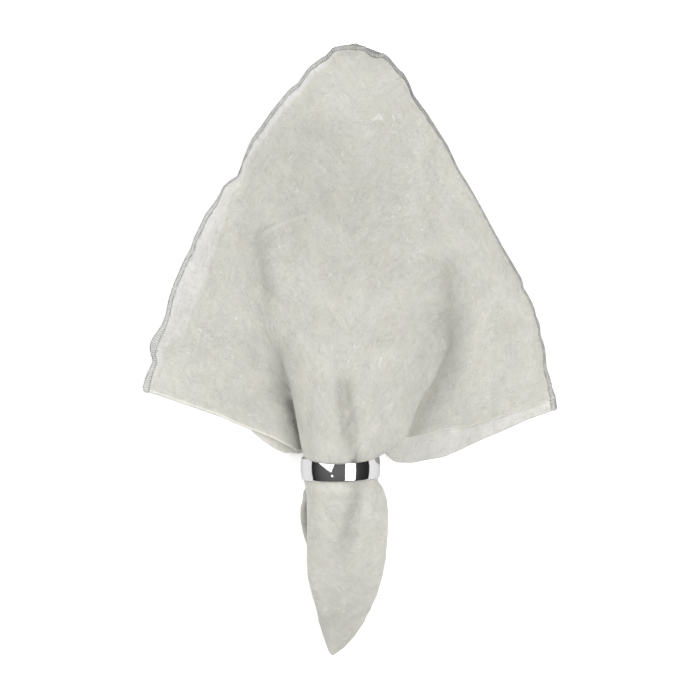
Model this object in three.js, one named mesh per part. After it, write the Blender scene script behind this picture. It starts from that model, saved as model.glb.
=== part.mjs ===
// A square linen napkin, folded in quarters, with its closed corner drawn
// through a plain metal band.  Millimetres, +Z up, lying on its back on z = 0.
// +Y runs from the tail below the band to the four loose corners, +X to the
// right wing, and the origin lies under the middle of the whole.
//
// The cloth is one sheet.  Folded in quarters it is a stack of four layers, so
// it is drawn as one middle surface and four layers a little apart on both
// sides of it.  On the left the folds lie one in the other: the outer one joins
// the lowest and the top layer, the inner one the two between.  On the right
// two folds lie side by side: one joins the lower two layers, one the upper two.
//
// Seven lines run along the middle surface, from the napkin's middle (the tip
// of the tail) to its hems: the crown of the front panel, and on each side the
// front turn and the back turn of the box pleat, the middle of the wing and the
// wing's folded edge.  Each is a short table, and every section across the
// cloth is a curve through its seven points.

import * as THREE from "three";

// ---- sizes ------------------------------------------------------------------
const CLOTH = 1.0; // thickness of the sheet as drawn
const PITCH = 1.5; // from layer to layer where the stack lies free
const PITCH_RING = 1.35; // the same inside the band
const TURN = 3.4; // least radius of the pleat's turns, at mid stack

const RING = {
  outer: 20.0, // radius
  wall: 1.0,
  height: 11.0,
  bevel: 0.25,
  x: -4.7,
  y: -58.5,
  yaw: 1.6, // degrees, turned a little on the table
  sides: 72,
};

// ---- stations, from the tip of the tail to the hems ----------------------------
// Each table below has one row for each of these.
const STATION = [
  "tip", "tail1", "tail2", "tail3", "tail4", "tail5", "tail6",
  "bandBelow", "bandAbove", "rim", "shoulder", "lobe1", "lobe2", "lobe3",
  "lobe4", "fan1", "fan2", "fan3", "hem",
];

const ARCHED = 3; // the first stations are a plain arch, with no pleat yet

const named = (columns, rows) =>
  rows.map((row) => Object.fromEntries(columns.map((name, i) => [name, row[i]])));
const table = (columns, rows) => {
  if (rows.length !== STATION.length) throw new Error("a row for each station");
  return named(columns, rows);
};
const pleatTable = (columns, rows) => {
  if (rows.length !== STATION.length - ARCHED) throw new Error("a row for each station");
  return [...Array(ARCHED).fill(null), ...named(columns, rows)];
};

// The crown of the front panel; groove is how far its middle is pressed in.
const crown = table(["x", "y", "z", "groove"], [
  [-8.9, -155.0, 2.9, 0.0],
  [-6.1, -147.2, 5.0, 0.0],
  [-3.9, -134.5, 10.6, 0.2],
  [-2.9, -125.0, 15.8, 0.4],
  [-2.3, -114.5, 21.0, 0.7],
  [-1.6, -92.0, 28.6, 1.2],
  [-2.8, -76.5, 33.5, 1.7],
  [-4.7, -66.0, 36.0, 1.6],
  [-4.7, -51.0, 36.0, 1.6],
  [-4.5, -47.5, 37.0, 1.9],
  [-4.1, -44.0, 37.2, 2.0],
  [-3.6, -37.5, 36.2, 1.9],
  [-2.6, -22.0, 31.8, 1.3],
  [-1.4, -2.0, 25.2, 0.7],
  [-0.6, 18.0, 18.6, 0.4],
  [0.2, 42.0, 12.4, 0.2],
  [1.2, 80.0, 6.2, 0.0],
  [2.2, 120.0, 3.4, 0.0],
  [3.0, 156.8, 2.75, 0.0],
]);

// The pleat's front turns.  tilt is the slope of the section there, in degrees
// down from level: 90 stands upright, 0 is flat.
const leftFront = pleatTable(["x", "y", "z", "tilt"], [
  [-15.7, -127.6, 11.4, 86],
  [-18.6, -117.0, 14.4, 90],
  [-19.2, -94.0, 15.0, 90],
  [-19.6, -77.5, 17.4, 90],
  [-20.6, -66.0, 20.0, 90],
  [-20.6, -51.0, 20.0, 90],
  [-21.0, -48.6, 20.0, 90],
  [-22.0, -45.5, 20.2, 90],
  [-23.6, -40.0, 20.0, 90],
  [-26.5, -24.0, 18.0, 90],
  [-31.0, -7.0, 15.0, 78],
  [-35.5, 8.0, 11.6, 42],
  [-40.5, 26.0, 8.2, 18],
  [-47.5, 49.0, 5.0, 7],
  [-54.5, 69.0, 3.4, 2],
  [-60.6, 86.0, 2.75, 0],
]);
const rightFront = pleatTable(["x", "y", "z", "tilt"], [
  [9.6, -127.6, 11.4, 86],
  [14.2, -117.0, 14.4, 90],
  [16.6, -94.0, 15.0, 90],
  [15.0, -77.5, 17.4, 90],
  [11.2, -66.0, 20.0, 90],
  [11.4, -51.0, 20.0, 90],
  [13.4, -48.6, 20.2, 90],
  [18.0, -45.6, 20.4, 90],
  [25.0, -40.6, 20.2, 90],
  [32.0, -26.0, 18.6, 90],
  [42.0, -10.0, 16.0, 86],
  [48.0, 6.0, 12.0, 50],
  [52.5, 22.0, 8.6, 22],
  [57.5, 44.0, 5.2, 8],
  [62.0, 61.0, 3.5, 2],
  [66.4, 75.5, 2.75, 0],
]);

// Its back turns, hidden behind the front panel near the band.
const leftBack = pleatTable(["x", "y", "z", "tilt"], [
  [-15.8, -128.4, 5.4, 84],
  [-11.6, -117.2, 6.6, 90],
  [-6.2, -93.4, 7.4, 90],
  [-6.6, -77.2, 10.2, 90],
  [-7.6, -66.0, 14.4, 90],
  [-7.6, -51.0, 14.4, 90],
  [-8.6, -47.0, 14.0, 90],
  [-11.0, -43.5, 13.0, 90],
  [-15.0, -38.0, 12.0, 90],
  [-23.5, -29.5, 9.6, 90],
  [-34.2, -18.0, 7.6, 70],
  [-41.5, -9.5, 6.0, 30],
  [-50.5, 0.0, 4.4, 10],
  [-64.5, 15.5, 3.1, 3],
  [-76.5, 29.5, 2.75, 0],
  [-86.8, 41.0, 2.75, 0],
]);
const rightBack = pleatTable(["x", "y", "z", "tilt"], [
  [10.3, -128.4, 5.4, 84],
  [7.2, -117.2, 6.6, 90],
  [3.6, -93.4, 7.4, 90],
  [1.0, -77.2, 10.2, 90],
  [-1.8, -66.0, 14.4, 90],
  [-1.8, -51.0, 14.4, 90],
  [-0.6, -47.0, 14.0, 90],
  [4.0, -43.4, 13.2, 90],
  [9.5, -38.8, 12.4, 90],
  [21.0, -30.5, 10.0, 90],
  [36.0, -18.0, 8.0, 84],
  [45.5, -10.5, 6.2, 46],
  [54.5, -3.0, 4.5, 16],
  [67.5, 11.5, 3.15, 3],
  [79.5, 23.0, 2.75, 0],
  [90.6, 31.0, 2.75, 0],
]);

// The middle of each wing.
const leftWing = pleatTable(["x", "y", "z"], [
  [-15.9, -128.5, 4.0],
  [-14.6, -117.6, 3.0],
  [-13.6, -94.2, 3.1],
  [-12.6, -77.6, 5.2],
  [-11.8, -66.0, 9.2],
  [-11.8, -51.0, 9.2],
  [-13.2, -46.2, 9.0],
  [-17.2, -41.6, 8.6],
  [-23.4, -38.2, 7.8],
  [-33.5, -32.5, 5.8],
  [-44.5, -26.5, 4.2],
  [-52.0, -22.0, 3.5],
  [-61.0, -16.5, 3.0],
  [-75.5, -8.5, 2.85],
  [-89.0, -1.5, 2.75],
  [-100.8, 4.6, 2.75],
]);
const rightWing = pleatTable(["x", "y", "z"], [
  [10.6, -128.5, 4.0],
  [9.6, -117.6, 3.0],
  [9.4, -94.2, 3.1],
  [6.4, -77.6, 5.2],
  [2.4, -66.0, 9.2],
  [2.4, -51.0, 9.2],
  [4.2, -46.4, 9.1],
  [10.0, -42.0, 8.8],
  [17.6, -41.4, 8.0],
  [29.0, -40.0, 6.0],
  [41.5, -34.0, 4.3],
  [49.0, -30.0, 3.6],
  [57.5, -26.5, 3.1],
  [73.0, -19.5, 2.9],
  [87.5, -12.5, 2.75],
  [100.4, -6.0, 2.75],
]);

// The folded edges of the wings.  pair is how far the upper two layers' fold
// stays inside the lower two layers' on the right, where the folds lie apart.
const leftEdge = table(["x", "y", "z"], [
  [-10.4, -154.9, 2.9],
  [-9.8, -147.4, 3.0],
  [-12.7, -137.4, 2.9],
  [-15.7, -128.6, 2.9],
  [-17.0, -118.0, 2.9],
  [-22.0, -94.6, 3.4],
  [-21.2, -78.2, 5.4],
  [-15.7, -66.0, 9.0],
  [-15.7, -51.0, 9.0],
  [-17.4, -48.0, 8.8],
  [-22.6, -47.4, 8.2],
  [-30.0, -48.6, 6.8],
  [-40.0, -45.2, 4.4],
  [-51.4, -40.2, 3.1],
  [-58.4, -37.2, 2.8],
  [-66.4, -31.2, 2.8],
  [-80.0, -26.6, 2.8],
  [-93.4, -22.2, 2.75],
  [-105.6, -18.8, 2.75],
]);
const rightEdge = table(["x", "y", "z", "pair"], [
  [-7.4, -154.9, 2.9, 0.0],
  [-2.2, -147.4, 3.0, 0.0],
  [5.7, -137.4, 2.9, 0.0],
  [10.8, -128.6, 2.9, 0.0],
  [12.4, -118.0, 2.9, 0.0],
  [14.0, -94.6, 3.0, 0.0],
  [11.0, -77.8, 5.0, 0.0],
  [6.2, -66.0, 9.0, 0.0],
  [6.2, -51.0, 9.0, 0.0],
  [8.6, -48.2, 8.9, 0.3],
  [15.4, -49.6, 8.6, 2.0],
  [22.8, -55.4, 7.0, 6.0],
  [33.6, -57.0, 4.6, 9.5],
  [47.0, -53.0, 3.2, 11.0],
  [54.6, -50.6, 2.9, 9.6],
  [63.4, -47.0, 2.85, 8.4],
  [77.6, -41.4, 2.85, 6.5],
  [91.5, -35.0, 2.75, 5.5],
  [104.6, -30.0, 2.75, 5.0],
]);

// How far each layer's hem stays inside the longest one, lowest layer first.
const hemInset = [
  { leftTip: 0.0, leftBack: 0.0, leftFront: 0.4, leftPanel: 0.0, apex: 1.8, rightPanel: 3.4, rightFront: 1.0, rightBack: 0.0, rightTip: 0.0 },
  { leftTip: 1.6, leftBack: 3.0, leftFront: 2.4, leftPanel: 1.0, apex: 1.2, rightPanel: 2.2, rightFront: 0.2, rightBack: 1.0, rightTip: 1.4 },
  { leftTip: 4.0, leftBack: 4.4, leftFront: 1.4, leftPanel: -1.2, apex: 0.6, rightPanel: 3.0, rightFront: 1.4, rightBack: 2.0, rightTip: 3.0 },
  { leftTip: 4.6, leftBack: 5.0, leftFront: 0.2, leftPanel: -2.4, apex: 0.0, rightPanel: 2.0, rightFront: 1.8, rightBack: 2.6, rightTip: 3.6 },
];

// Short runs of facets across the cloth, from the crown to a wing's edge.
const FACETS = { panel: 4, pleat: 5, behind: 3, wing: 2 };
const FOLD_FACETS = { outer: 4, inner: 3 }; // half a turn of a folded edge

// ---- the middle surface --------------------------------------------------------
const rad = THREE.MathUtils.degToRad;
const at = (row) => new THREE.Vector3(row.x, row.y, row.z);

// A cubic from a to b, leaving along ta and arriving along tb.
function cubic(a, ta, b, tb, t) {
  const t2 = t * t,
    t3 = t2 * t;
  return new THREE.Vector3()
    .addScaledVector(a, 2 * t3 - 3 * t2 + 1)
    .addScaledVector(ta, t3 - 2 * t2 + t)
    .addScaledVector(b, -2 * t3 + 3 * t2)
    .addScaledVector(tb, t3 - t2);
}

// The direction outward from the crown in plan, turned down by tilt.
function heading(side, turn, tilt) {
  return new THREE.Vector3(
    side * Math.cos(rad(turn)) * Math.cos(rad(tilt)),
    -Math.sin(rad(turn)) * Math.cos(rad(tilt)),
    -Math.sin(rad(tilt)),
  );
}

// How far the sections have swung round towards the wings at each line, in
// degrees; the last ones run with the hems.
const swings = {
  rim: { front: 4, back: 14, wing: 26, edge: 42 },
  shoulder: { front: 10, back: 32, wing: 50, edge: 66 },
  lobe1: { front: 14, back: 40, wing: 60, edge: 72 },
  lobe2: { front: 16, back: 43, wing: 62, edge: 72 },
  lobe3: { front: 18, back: 44, wing: 62, edge: 72 },
  lobe4: { front: 20, back: 45, wing: 62, edge: 72 },
  fan1: { front: 24, back: 48, wing: 64, edge: 73 },
  fan2: { front: 34, back: 54, wing: 68, edge: 75 },
  fan3: { front: 42, back: 60, wing: 71, edge: 77 },
  hem: { front: 48, back: 66, wing: 74, edge: 80 },
};
const LEVEL = { front: 0, back: 0, wing: 0, edge: 0 };
const swingAt = (i) => swings[STATION[i]] ?? LEVEL;

// The pressed-in middle of the front panel.
const press = (i) => (p) => {
  const off = (p.x - crown[i].x) / 4.5;
  return p.setZ(p.z - crown[i].groove * Math.exp(-off * off));
};

// Near the tip: one quarter of an oval, from the crown down to the edge.  The
// facets lie where the pleat's do further on.
const ARCH_SHARE = [0, 0.62, 0.86, 0.95, 1];
function halfArch(i, side) {
  const C = at(crown[i]),
    E = at((side < 0 ? leftEdge : rightEdge)[i]);
  const across = Math.hypot(E.x - C.x, E.y - C.y),
    drop = C.z - E.z,
    upright = Math.min(1, drop / across);
  const tilt = 80 * upright,
    span = C.distanceTo(E);
  const tC = new THREE.Vector3(side * (span + 0.66 * across * upright), 0, 0);
  const tE = heading(side, 12, tilt).multiplyScalar(span + (1.66 * drop - span) * upright);
  const run = (r) => (t) => {
    const share = ARCH_SHARE[r] + (ARCH_SHARE[r + 1] - ARCH_SHARE[r]) * t;
    return press(i)(cubic(C, tC, E, tE, share));
  };
  return {
    runs: Object.values(FACETS).map((n, r) => ({ n, f: run(r) })),
    toEdge: across,
  };
}

// One half of the section at station i: from the crown to the edge of a wing.
function halfSection(i, side) {
  if (i < ARCHED) return halfArch(i, side);
  const [front, back, wing, edge] = (
    side < 0
      ? [leftFront, leftBack, leftWing, leftEdge]
      : [rightFront, rightBack, rightWing, rightEdge]
  ).map((rows) => rows[i]);
  const C = at(crown[i]),
    F = at(front),
    B = at(back),
    W = at(wing),
    E = at(edge);
  const swing = swingAt(i);
  const dF = heading(side, swing.front, front.tilt);
  const dB = heading(side, swing.back, back.tilt);
  const upright = Math.sin(rad(front.tilt)) ** 2;
  const mix = THREE.MathUtils.lerp;

  // the front panel: a quarter of an oval where the pleat stands upright
  const across = Math.hypot(F.x - C.x, F.y - C.y),
    drop = C.z - F.z,
    span = C.distanceTo(F);
  const tC = new THREE.Vector3(side, 0, 0).multiplyScalar(
    mix(span, 1.66 * across, upright),
  );
  const tF = dF.clone().multiplyScalar(mix(span, 1.66 * drop, upright));

  // the pleat: back under the panel from its front turn to its back turn
  const step = B.clone().sub(F);
  const reach = (way) => {
    const aside = step.clone().projectOnPlane(way).length();
    return Math.max(step.length(), Math.sqrt(6 * aside * TURN) * upright);
  };
  const tFB = dF.clone().multiplyScalar(reach(dF)),
    tBF = dB.clone().multiplyScalar(reach(dB));

  // out again to the wing
  const toWing = B.distanceTo(W),
    fromBack = W.clone().sub(B).normalize(),
    onward = E.clone().sub(W).normalize();
  const fanned = swing !== LEVEL;
  const dW = fanned
    ? heading(side, swing.wing, 0).setZ((E.z - B.z) / E.distanceTo(B) / 2).normalize()
    : onward.clone().addScaledVector(fromBack, 0.3).normalize();
  const tBW = dB.clone().multiplyScalar(toWing * mix(1, 1.2, upright)),
    tW = dW.clone().multiplyScalar(toWing);
  const toEdge = W.distanceTo(E),
    dE = fanned
      ? heading(side, swing.edge, 0).setZ((E.z - W.z) / toEdge).normalize()
      : onward;
  const tWE = dW.clone().multiplyScalar(toEdge),
    tE = dE.clone().multiplyScalar(toEdge);

  const runs = [
    { n: FACETS.panel, f: (t) => press(i)(cubic(C, tC, F, tF, t)) },
    { n: FACETS.pleat, f: (t) => cubic(F, tFB, B, tBF, t) },
    { n: FACETS.behind, f: (t) => cubic(B, tBW, W, tW, t) },
    { n: FACETS.wing, f: (t) => cubic(W, tWE, E, tE, t) },
  ];
  return { runs, toEdge };
}

// Points of the middle surface along station i, left edge to right edge.
// trim shortens the last run on the right, for the upper pair of layers.
function section(i, trim) {
  const points = [];
  for (const side of [-1, 1]) {
    const { runs, toEdge } = halfSection(i, side);
    const half = [];
    runs.forEach(({ n, f }, r) => {
      const last = r === runs.length - 1;
      const far = last && side > 0 ? 1 - Math.min(trim / toEdge, 0.8) : 1;
      for (let k = r ? 1 : 0; k <= n; k++) half.push(f((k / n) * far));
    });
    if (side < 0) points.push(...half.reverse().slice(0, -1));
    else points.push(...half);
  }
  return points;
}

// ---- the four layers -----------------------------------------------------------
const rowsOf = (trims) => STATION.map((_, i) => section(i, trims[i]));
const full = rowsOf(STATION.map(() => 0));
const upper = rowsOf(rightEdge.map((row) => row.pair));
const COUNT = full[0].length;

// Upward normal of the middle surface at row i, point j.
function frameAt(rows, i, j) {
  const a = rows[Math.max(i - 1, 0)][j],
    b = rows[Math.min(i + 1, rows.length - 1)][j],
    c = rows[i][Math.max(j - 1, 0)],
    d = rows[i][Math.min(j + 1, COUNT - 1)];
  const along = b.clone().sub(a).normalize(),
    across = d.clone().sub(c).normalize();
  const normal = across.clone().cross(along).normalize();
  return { along, across, normal };
}

const pitchAt = (i) => {
  const inBand =
    { tail6: 0.5, bandBelow: 1, bandAbove: 1, rim: 1, shoulder: 0.5 }[STATION[i]] ?? 0;
  return THREE.MathUtils.lerp(PITCH, PITCH_RING, inBand);
};

// How far inside the longest hem layer k ends, at point j of the last row.
function insetAt(k, j) {
  const h = hemInset[k];
  const mid = (COUNT - 1) / 2;
  const panel = FACETS.panel,
    back = panel + FACETS.pleat,
    tip = mid;
  const knots = [
    [mid - tip, h.leftTip], [mid - back, h.leftBack], [mid - panel, h.leftFront],
    [mid - panel / 2, h.leftPanel], [mid, h.apex], [mid + panel / 2, h.rightPanel],
    [mid + panel, h.rightFront], [mid + back, h.rightBack], [mid + tip, h.rightTip],
  ];
  for (let n = 1; n < knots.length; n++) {
    const [j0, v0] = knots[n - 1],
      [j1, v1] = knots[n];
    if (j <= j1) {
      const t = THREE.MathUtils.smoothstep(j, j0, j1);
      return v0 + (v1 - v0) * t;
    }
  }
  return h.rightTip;
}

// One loop round the stack at row i: the layers' lines and the folds that join
// them.  shift moves every point off its layer's own line, to one face of the
// sheet: +1 the face seen from outside, -1 the face inside the folds.
function loop(i, shift) {
  const p = pitchAt(i),
    half = CLOTH / 2,
    last = i === STATION.length - 1;
  const level = [-1.5, -0.5, 0.5, 1.5].map((n) => n * p);
  const outward = [-1, 1, -1, 1]; // the way each layer's outside faces
  const points = [];
  const grids = [full, full, upper, upper];

  const layerPoint = (k, j) => {
    const { normal, along } = frameAt(grids[k], i, j);
    const q = grids[k][i][j]
      .clone()
      .addScaledVector(normal, level[k] + outward[k] * shift * half);
    return last ? q.addScaledVector(along, -insetAt(k, j)) : q;
  };
  // half a turn from layer a to layer b at end j, bulging outwards
  const fold = (a, b, j, turnedOut) => {
    const grid = grids[a],
      { normal, across, along } = frameAt(grid, i, j);
    const way = j === 0 ? -1 : 1;
    const middle = (level[a] + level[b]) / 2,
      radius = Math.abs(level[b] - level[a]) / 2 + (turnedOut ? shift : -shift) * half;
    const up = Math.sign(level[b] - level[a]);
    const turns = Math.abs(a - b) > 1 ? FOLD_FACETS.outer : FOLD_FACETS.inner;
    for (let n = 1; n < turns; n++) {
      const angle = (Math.PI * n) / turns;
      const q = grid[i][j]
        .clone()
        .addScaledVector(normal, middle - up * radius * Math.cos(angle))
        .addScaledVector(across, way * radius * Math.sin(angle));
      if (last) {
        const t = n / turns;
        q.addScaledVector(along, -(insetAt(a, j) * (1 - t) + insetAt(b, j) * t));
      }
      points.push(q);
    }
  };
  for (let j = 0; j < COUNT; j++) points.push(layerPoint(0, j));
  fold(0, 1, COUNT - 1, true);
  for (let j = COUNT - 1; j >= 0; j--) points.push(layerPoint(1, j));
  fold(1, 2, 0, false);
  for (let j = 0; j < COUNT; j++) points.push(layerPoint(2, j));
  fold(2, 3, COUNT - 1, true);
  for (let j = COUNT - 1; j >= 0; j--) points.push(layerPoint(3, j));
  fold(3, 0, 0, true);
  // the wall that closes the tip is as thick as the sheet
  if (i === 0 && shift > 0) for (const q of points) q.y -= CLOTH;
  return points;
}

// Where each point of a loop lies across the stack: -1 left edge, +1 right edge.
const across = (j) => (2 * j) / (COUNT - 1) - 1;
const LOOP_X = (() => {
  const there = [...Array(COUNT).keys()].map(across),
    back = there.toReversed(),
    turn = (n, x) => Array(n - 1).fill(x);
  return [
    ...there, ...turn(FOLD_FACETS.inner, 1), ...back, ...turn(FOLD_FACETS.inner, -1),
    ...there, ...turn(FOLD_FACETS.inner, 1), ...back, ...turn(FOLD_FACETS.outer, -1),
  ];
})();

// ---- the closed sheet ------------------------------------------------------------
function napkinGeometry() {
  const outside = STATION.map((_, i) => loop(i, 1));
  const inside = STATION.map((_, i) => loop(i, -1));
  const n = outside[0].length;
  const positions = [],
    index = [];
  for (const face of [outside, inside])
    for (const row of face) for (const q of row) positions.push(q.x, q.y, q.z);
  const id = (face, i, j) => (face * STATION.length + i) * n + (j % n);
  // Every layer is cut into triangles the same way, or near layers would cross:
  // the cut runs outwards from the crown on both halves.
  const quad = (a, b, c, d, turned) =>
    turned ? index.push(b, c, d, b, d, a) : index.push(a, b, c, a, c, d);
  const leftwards = LOOP_X.map((x, j) => {
    const next = LOOP_X[(j + 1) % n];
    return (x + next) / 2 > 0 ? next < x : next > x;
  });
  for (let i = 0; i + 1 < STATION.length; i++)
    for (let j = 0; j < n; j++) {
      const turned = leftwards[j];
      quad(id(0, i, j), id(0, i + 1, j), id(0, i + 1, j + 1), id(0, i, j + 1), turned);
      quad(id(1, i, j), id(1, i, j + 1), id(1, i + 1, j + 1), id(1, i + 1, j), turned);
    }
  const end = STATION.length - 1; // the hems' cut edge
  for (let j = 0; j < n; j++)
    quad(id(0, end, j), id(1, end, j), id(1, end, j + 1), id(0, end, j + 1));
  // the tip of the tail is closed by one wall of cloth
  for (const [face, row] of [[0, outside[0]], [1, inside[0]]]) {
    const flat = row.map((q) => new THREE.Vector2(q.x, q.z));
    for (const [a, b, c] of THREE.ShapeUtils.triangulateShape(flat, []))
      if (face === 0) index.push(id(0, 0, a), id(0, 0, b), id(0, 0, c));
      else index.push(id(1, 0, a), id(1, 0, c), id(1, 0, b));
  }
  const geometry = new THREE.BufferGeometry();
  geometry.setAttribute("position", new THREE.Float32BufferAttribute(positions, 3));
  geometry.setIndex(index);
  return geometry;
}

function ringGeometry() {
  const { outer, wall, height, bevel, sides } = RING;
  const inner = outer - wall,
    h = height / 2;
  const profile = [
    [inner, -h + bevel], [inner + bevel, -h], [outer - bevel, -h], [outer, -h + bevel],
    [outer, h - bevel], [outer - bevel, h], [inner + bevel, h], [inner, h - bevel],
    [inner, -h + bevel],
  ].map(([r, y]) => new THREE.Vector2(r, y));
  return new THREE.LatheGeometry(profile, sides);
}

const linen = new THREE.MeshStandardMaterial({
  color: 0xd0cfc8,
  roughness: 0.95,
  metalness: 0.0,
});
const steel = new THREE.MeshStandardMaterial({
  color: 0xc9cacb,
  roughness: 0.08,
  metalness: 1.0,
});

const napkin = new THREE.Mesh(napkinGeometry(), linen);
napkin.name = "napkin";

const ring = new THREE.Mesh(ringGeometry(), steel);
ring.name = "ring";
// one flat of the band lies on the table
ring.geometry.rotateY(Math.PI / RING.sides);
ring.position.set(RING.x, RING.y, RING.outer * Math.cos(Math.PI / RING.sides));
ring.rotation.z = rad(RING.yaw);

const group = new THREE.Group();
group.name = "napkin_in_ring";
group.add(napkin, ring);

// the origin lies under the middle of the whole
const middle = new THREE.Box3().setFromObject(group, true).getCenter(new THREE.Vector3());
for (const mesh of [napkin, ring]) {
  mesh.position.x -= middle.x;
  mesh.position.y -= middle.y;
}

export default group;
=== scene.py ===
# A square linen napkin, folded in quarters, with its closed corner drawn
# through a plain polished band.  Everything is worked out in millimetres and
# laid down in metres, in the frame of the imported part.
import math

import bpy
import numpy as np
from mathutils import Matrix, Vector


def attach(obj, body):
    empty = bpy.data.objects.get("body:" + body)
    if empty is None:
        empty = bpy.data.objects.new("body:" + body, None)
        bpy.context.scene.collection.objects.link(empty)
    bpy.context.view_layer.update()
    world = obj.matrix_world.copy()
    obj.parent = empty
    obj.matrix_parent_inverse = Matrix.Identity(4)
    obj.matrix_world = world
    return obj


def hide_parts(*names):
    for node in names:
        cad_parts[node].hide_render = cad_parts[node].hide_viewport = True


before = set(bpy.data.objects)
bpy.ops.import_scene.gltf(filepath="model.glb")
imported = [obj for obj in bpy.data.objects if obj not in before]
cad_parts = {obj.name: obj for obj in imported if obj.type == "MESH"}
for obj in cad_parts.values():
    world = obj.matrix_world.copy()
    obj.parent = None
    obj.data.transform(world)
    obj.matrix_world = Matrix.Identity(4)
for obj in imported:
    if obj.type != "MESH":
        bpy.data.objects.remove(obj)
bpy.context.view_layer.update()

# ---- sizes --------------------------------------------------------------------------
SIDE = 450.0          # the napkin, edge to edge, before it was folded
HALF = SIDE / 2
PITCH = 1.3           # from layer to layer where the stack lies free
PITCH_RING = 1.05     # the same inside the band
STACK = 2.75          # half the height of the modelled stack
TURN = 3.4            # least radius of the pleat's turns
LIE = 0.25            # the lowest layer's height over the table
ORIGIN = np.array([0.50, -0.07, 0.0])   # from the drawing's origin to the part's

BAND = {"outer": 20.0, "wall": 1.0, "height": 11.0, "x": -4.7, "y": -58.5, "yaw": 1.6,
        "crown": 0.42, "edge": 0.46, "soft": 0.80}

HEM = {"width": 2.3, "height": 0.36, "stitch": 1.2, "thread": 0.2, "edge": 0.26, "needle": 0.16}

# ---- the lines the cloth hangs on ---------------------------------------------------
# tau runs up the crown of the front panel, from the tip of the tail to the hems.
TAU = [-155.0, -147.2, -134.5, -125.0, -114.5, -92.0, -76.5, -66.0, -51.0, -47.5, -44.0,
       -37.5, -22.0, -2.0, 18.0, 42.0, 80.0, 120.0, 156.8]
ARCHED = 3            # the first rows are a plain arch, with no pleat yet

CROWN = [  # x, z, groove; the groove is drawn softer here and finished by CREASES
    (-8.9, 2.9, 0.0), (-6.1, 5.0, 0.0), (-3.9, 10.6, 0.2), (-2.9, 15.8, 0.4),
    (-2.3, 21.0, 0.7), (-1.6, 28.6, 1.2), (-2.8, 33.5, 1.7), (-4.7, 36.0, 1.6),
    (-4.7, 36.0, 1.6), (-4.5, 37.0, 1.9), (-4.1, 37.2, 2.0), (-3.6, 36.2, 1.9),
    (-2.6, 31.8, 1.3), (-1.4, 25.2, 0.7), (-0.6, 18.6, 0.4), (0.2, 12.4, 0.2),
    (1.2, 6.2, 0.0), (2.2, 3.4, 0.0), (3.0, 2.75, 0.0),
]
FRONT = {  # x, y, z, tilt
    -1: [
        (-15.7, -127.6, 11.4, 86), (-18.6, -117.0, 14.4, 90), (-19.2, -94.0, 15.0, 90),
        (-19.6, -77.5, 17.4, 90), (-20.6, -66.0, 20.0, 90), (-20.6, -51.0, 20.0, 90),
        (-21.0, -48.6, 20.0, 90), (-22.0, -45.5, 20.2, 90), (-23.6, -40.0, 20.0, 90),
        (-26.5, -24.0, 18.0, 90), (-31.0, -7.0, 15.0, 78), (-35.5, 8.0, 11.6, 42),
        (-40.5, 26.0, 8.2, 18), (-47.5, 49.0, 5.0, 7), (-54.5, 69.0, 3.4, 2),
        (-60.6, 86.0, 2.75, 0),
    ],
    1: [
        (9.6, -127.6, 11.4, 86), (14.2, -117.0, 14.4, 90), (16.6, -94.0, 15.0, 90),
        (15.0, -77.5, 17.4, 90), (11.2, -66.0, 20.0, 90), (11.4, -51.0, 20.0, 90),
        (14.2, -49.6, 20.2, 90), (20.2, -47.0, 20.6, 90), (26.6, -42.0, 20.4, 90),
        (32.0, -26.0, 18.6, 90), (42.0, -10.0, 16.0, 86), (48.0, 6.0, 12.0, 50),
        (52.5, 22.0, 8.6, 22), (57.5, 44.0, 5.2, 8), (62.0, 61.0, 3.5, 2),
        (66.4, 75.5, 2.75, 0),
    ],
}
BACK = {  # x, y, z, tilt
    -1: [
        (-15.8, -128.4, 5.4, 84), (-11.6, -117.2, 6.6, 90), (-6.2, -93.4, 7.4, 90),
        (-6.6, -77.2, 10.2, 90), (-7.6, -66.0, 14.4, 90), (-7.6, -51.0, 14.4, 90),
        (-8.6, -47.0, 14.0, 90), (-11.0, -43.5, 13.0, 90), (-15.0, -38.0, 12.0, 90),
        (-21.0, -30.5, 7.8, 90), (-28.6, -20.5, 6.4, 84), (-37.4, -11.5, 5.4, 40),
        (-50.5, 0.0, 4.4, 10), (-64.5, 15.5, 3.1, 3), (-76.5, 29.5, 2.75, 0),
        (-86.8, 41.0, 2.75, 0),
    ],
    1: [
        (10.3, -128.4, 5.4, 84), (7.2, -117.2, 6.6, 90), (3.6, -93.4, 7.4, 90),
        (1.0, -77.2, 10.2, 90), (-1.8, -66.0, 14.4, 90), (-1.8, -51.0, 14.4, 90),
        (-0.6, -47.0, 14.0, 90), (4.0, -43.4, 13.2, 90), (9.5, -38.8, 12.4, 90),
        (21.0, -30.5, 10.0, 90), (36.0, -18.0, 8.0, 84), (45.5, -10.5, 6.2, 46),
        (54.5, -3.0, 4.5, 16), (67.5, 11.5, 3.15, 3), (79.5, 23.0, 2.75, 0),
        (90.6, 31.0, 2.75, 0),
    ],
}
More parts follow.
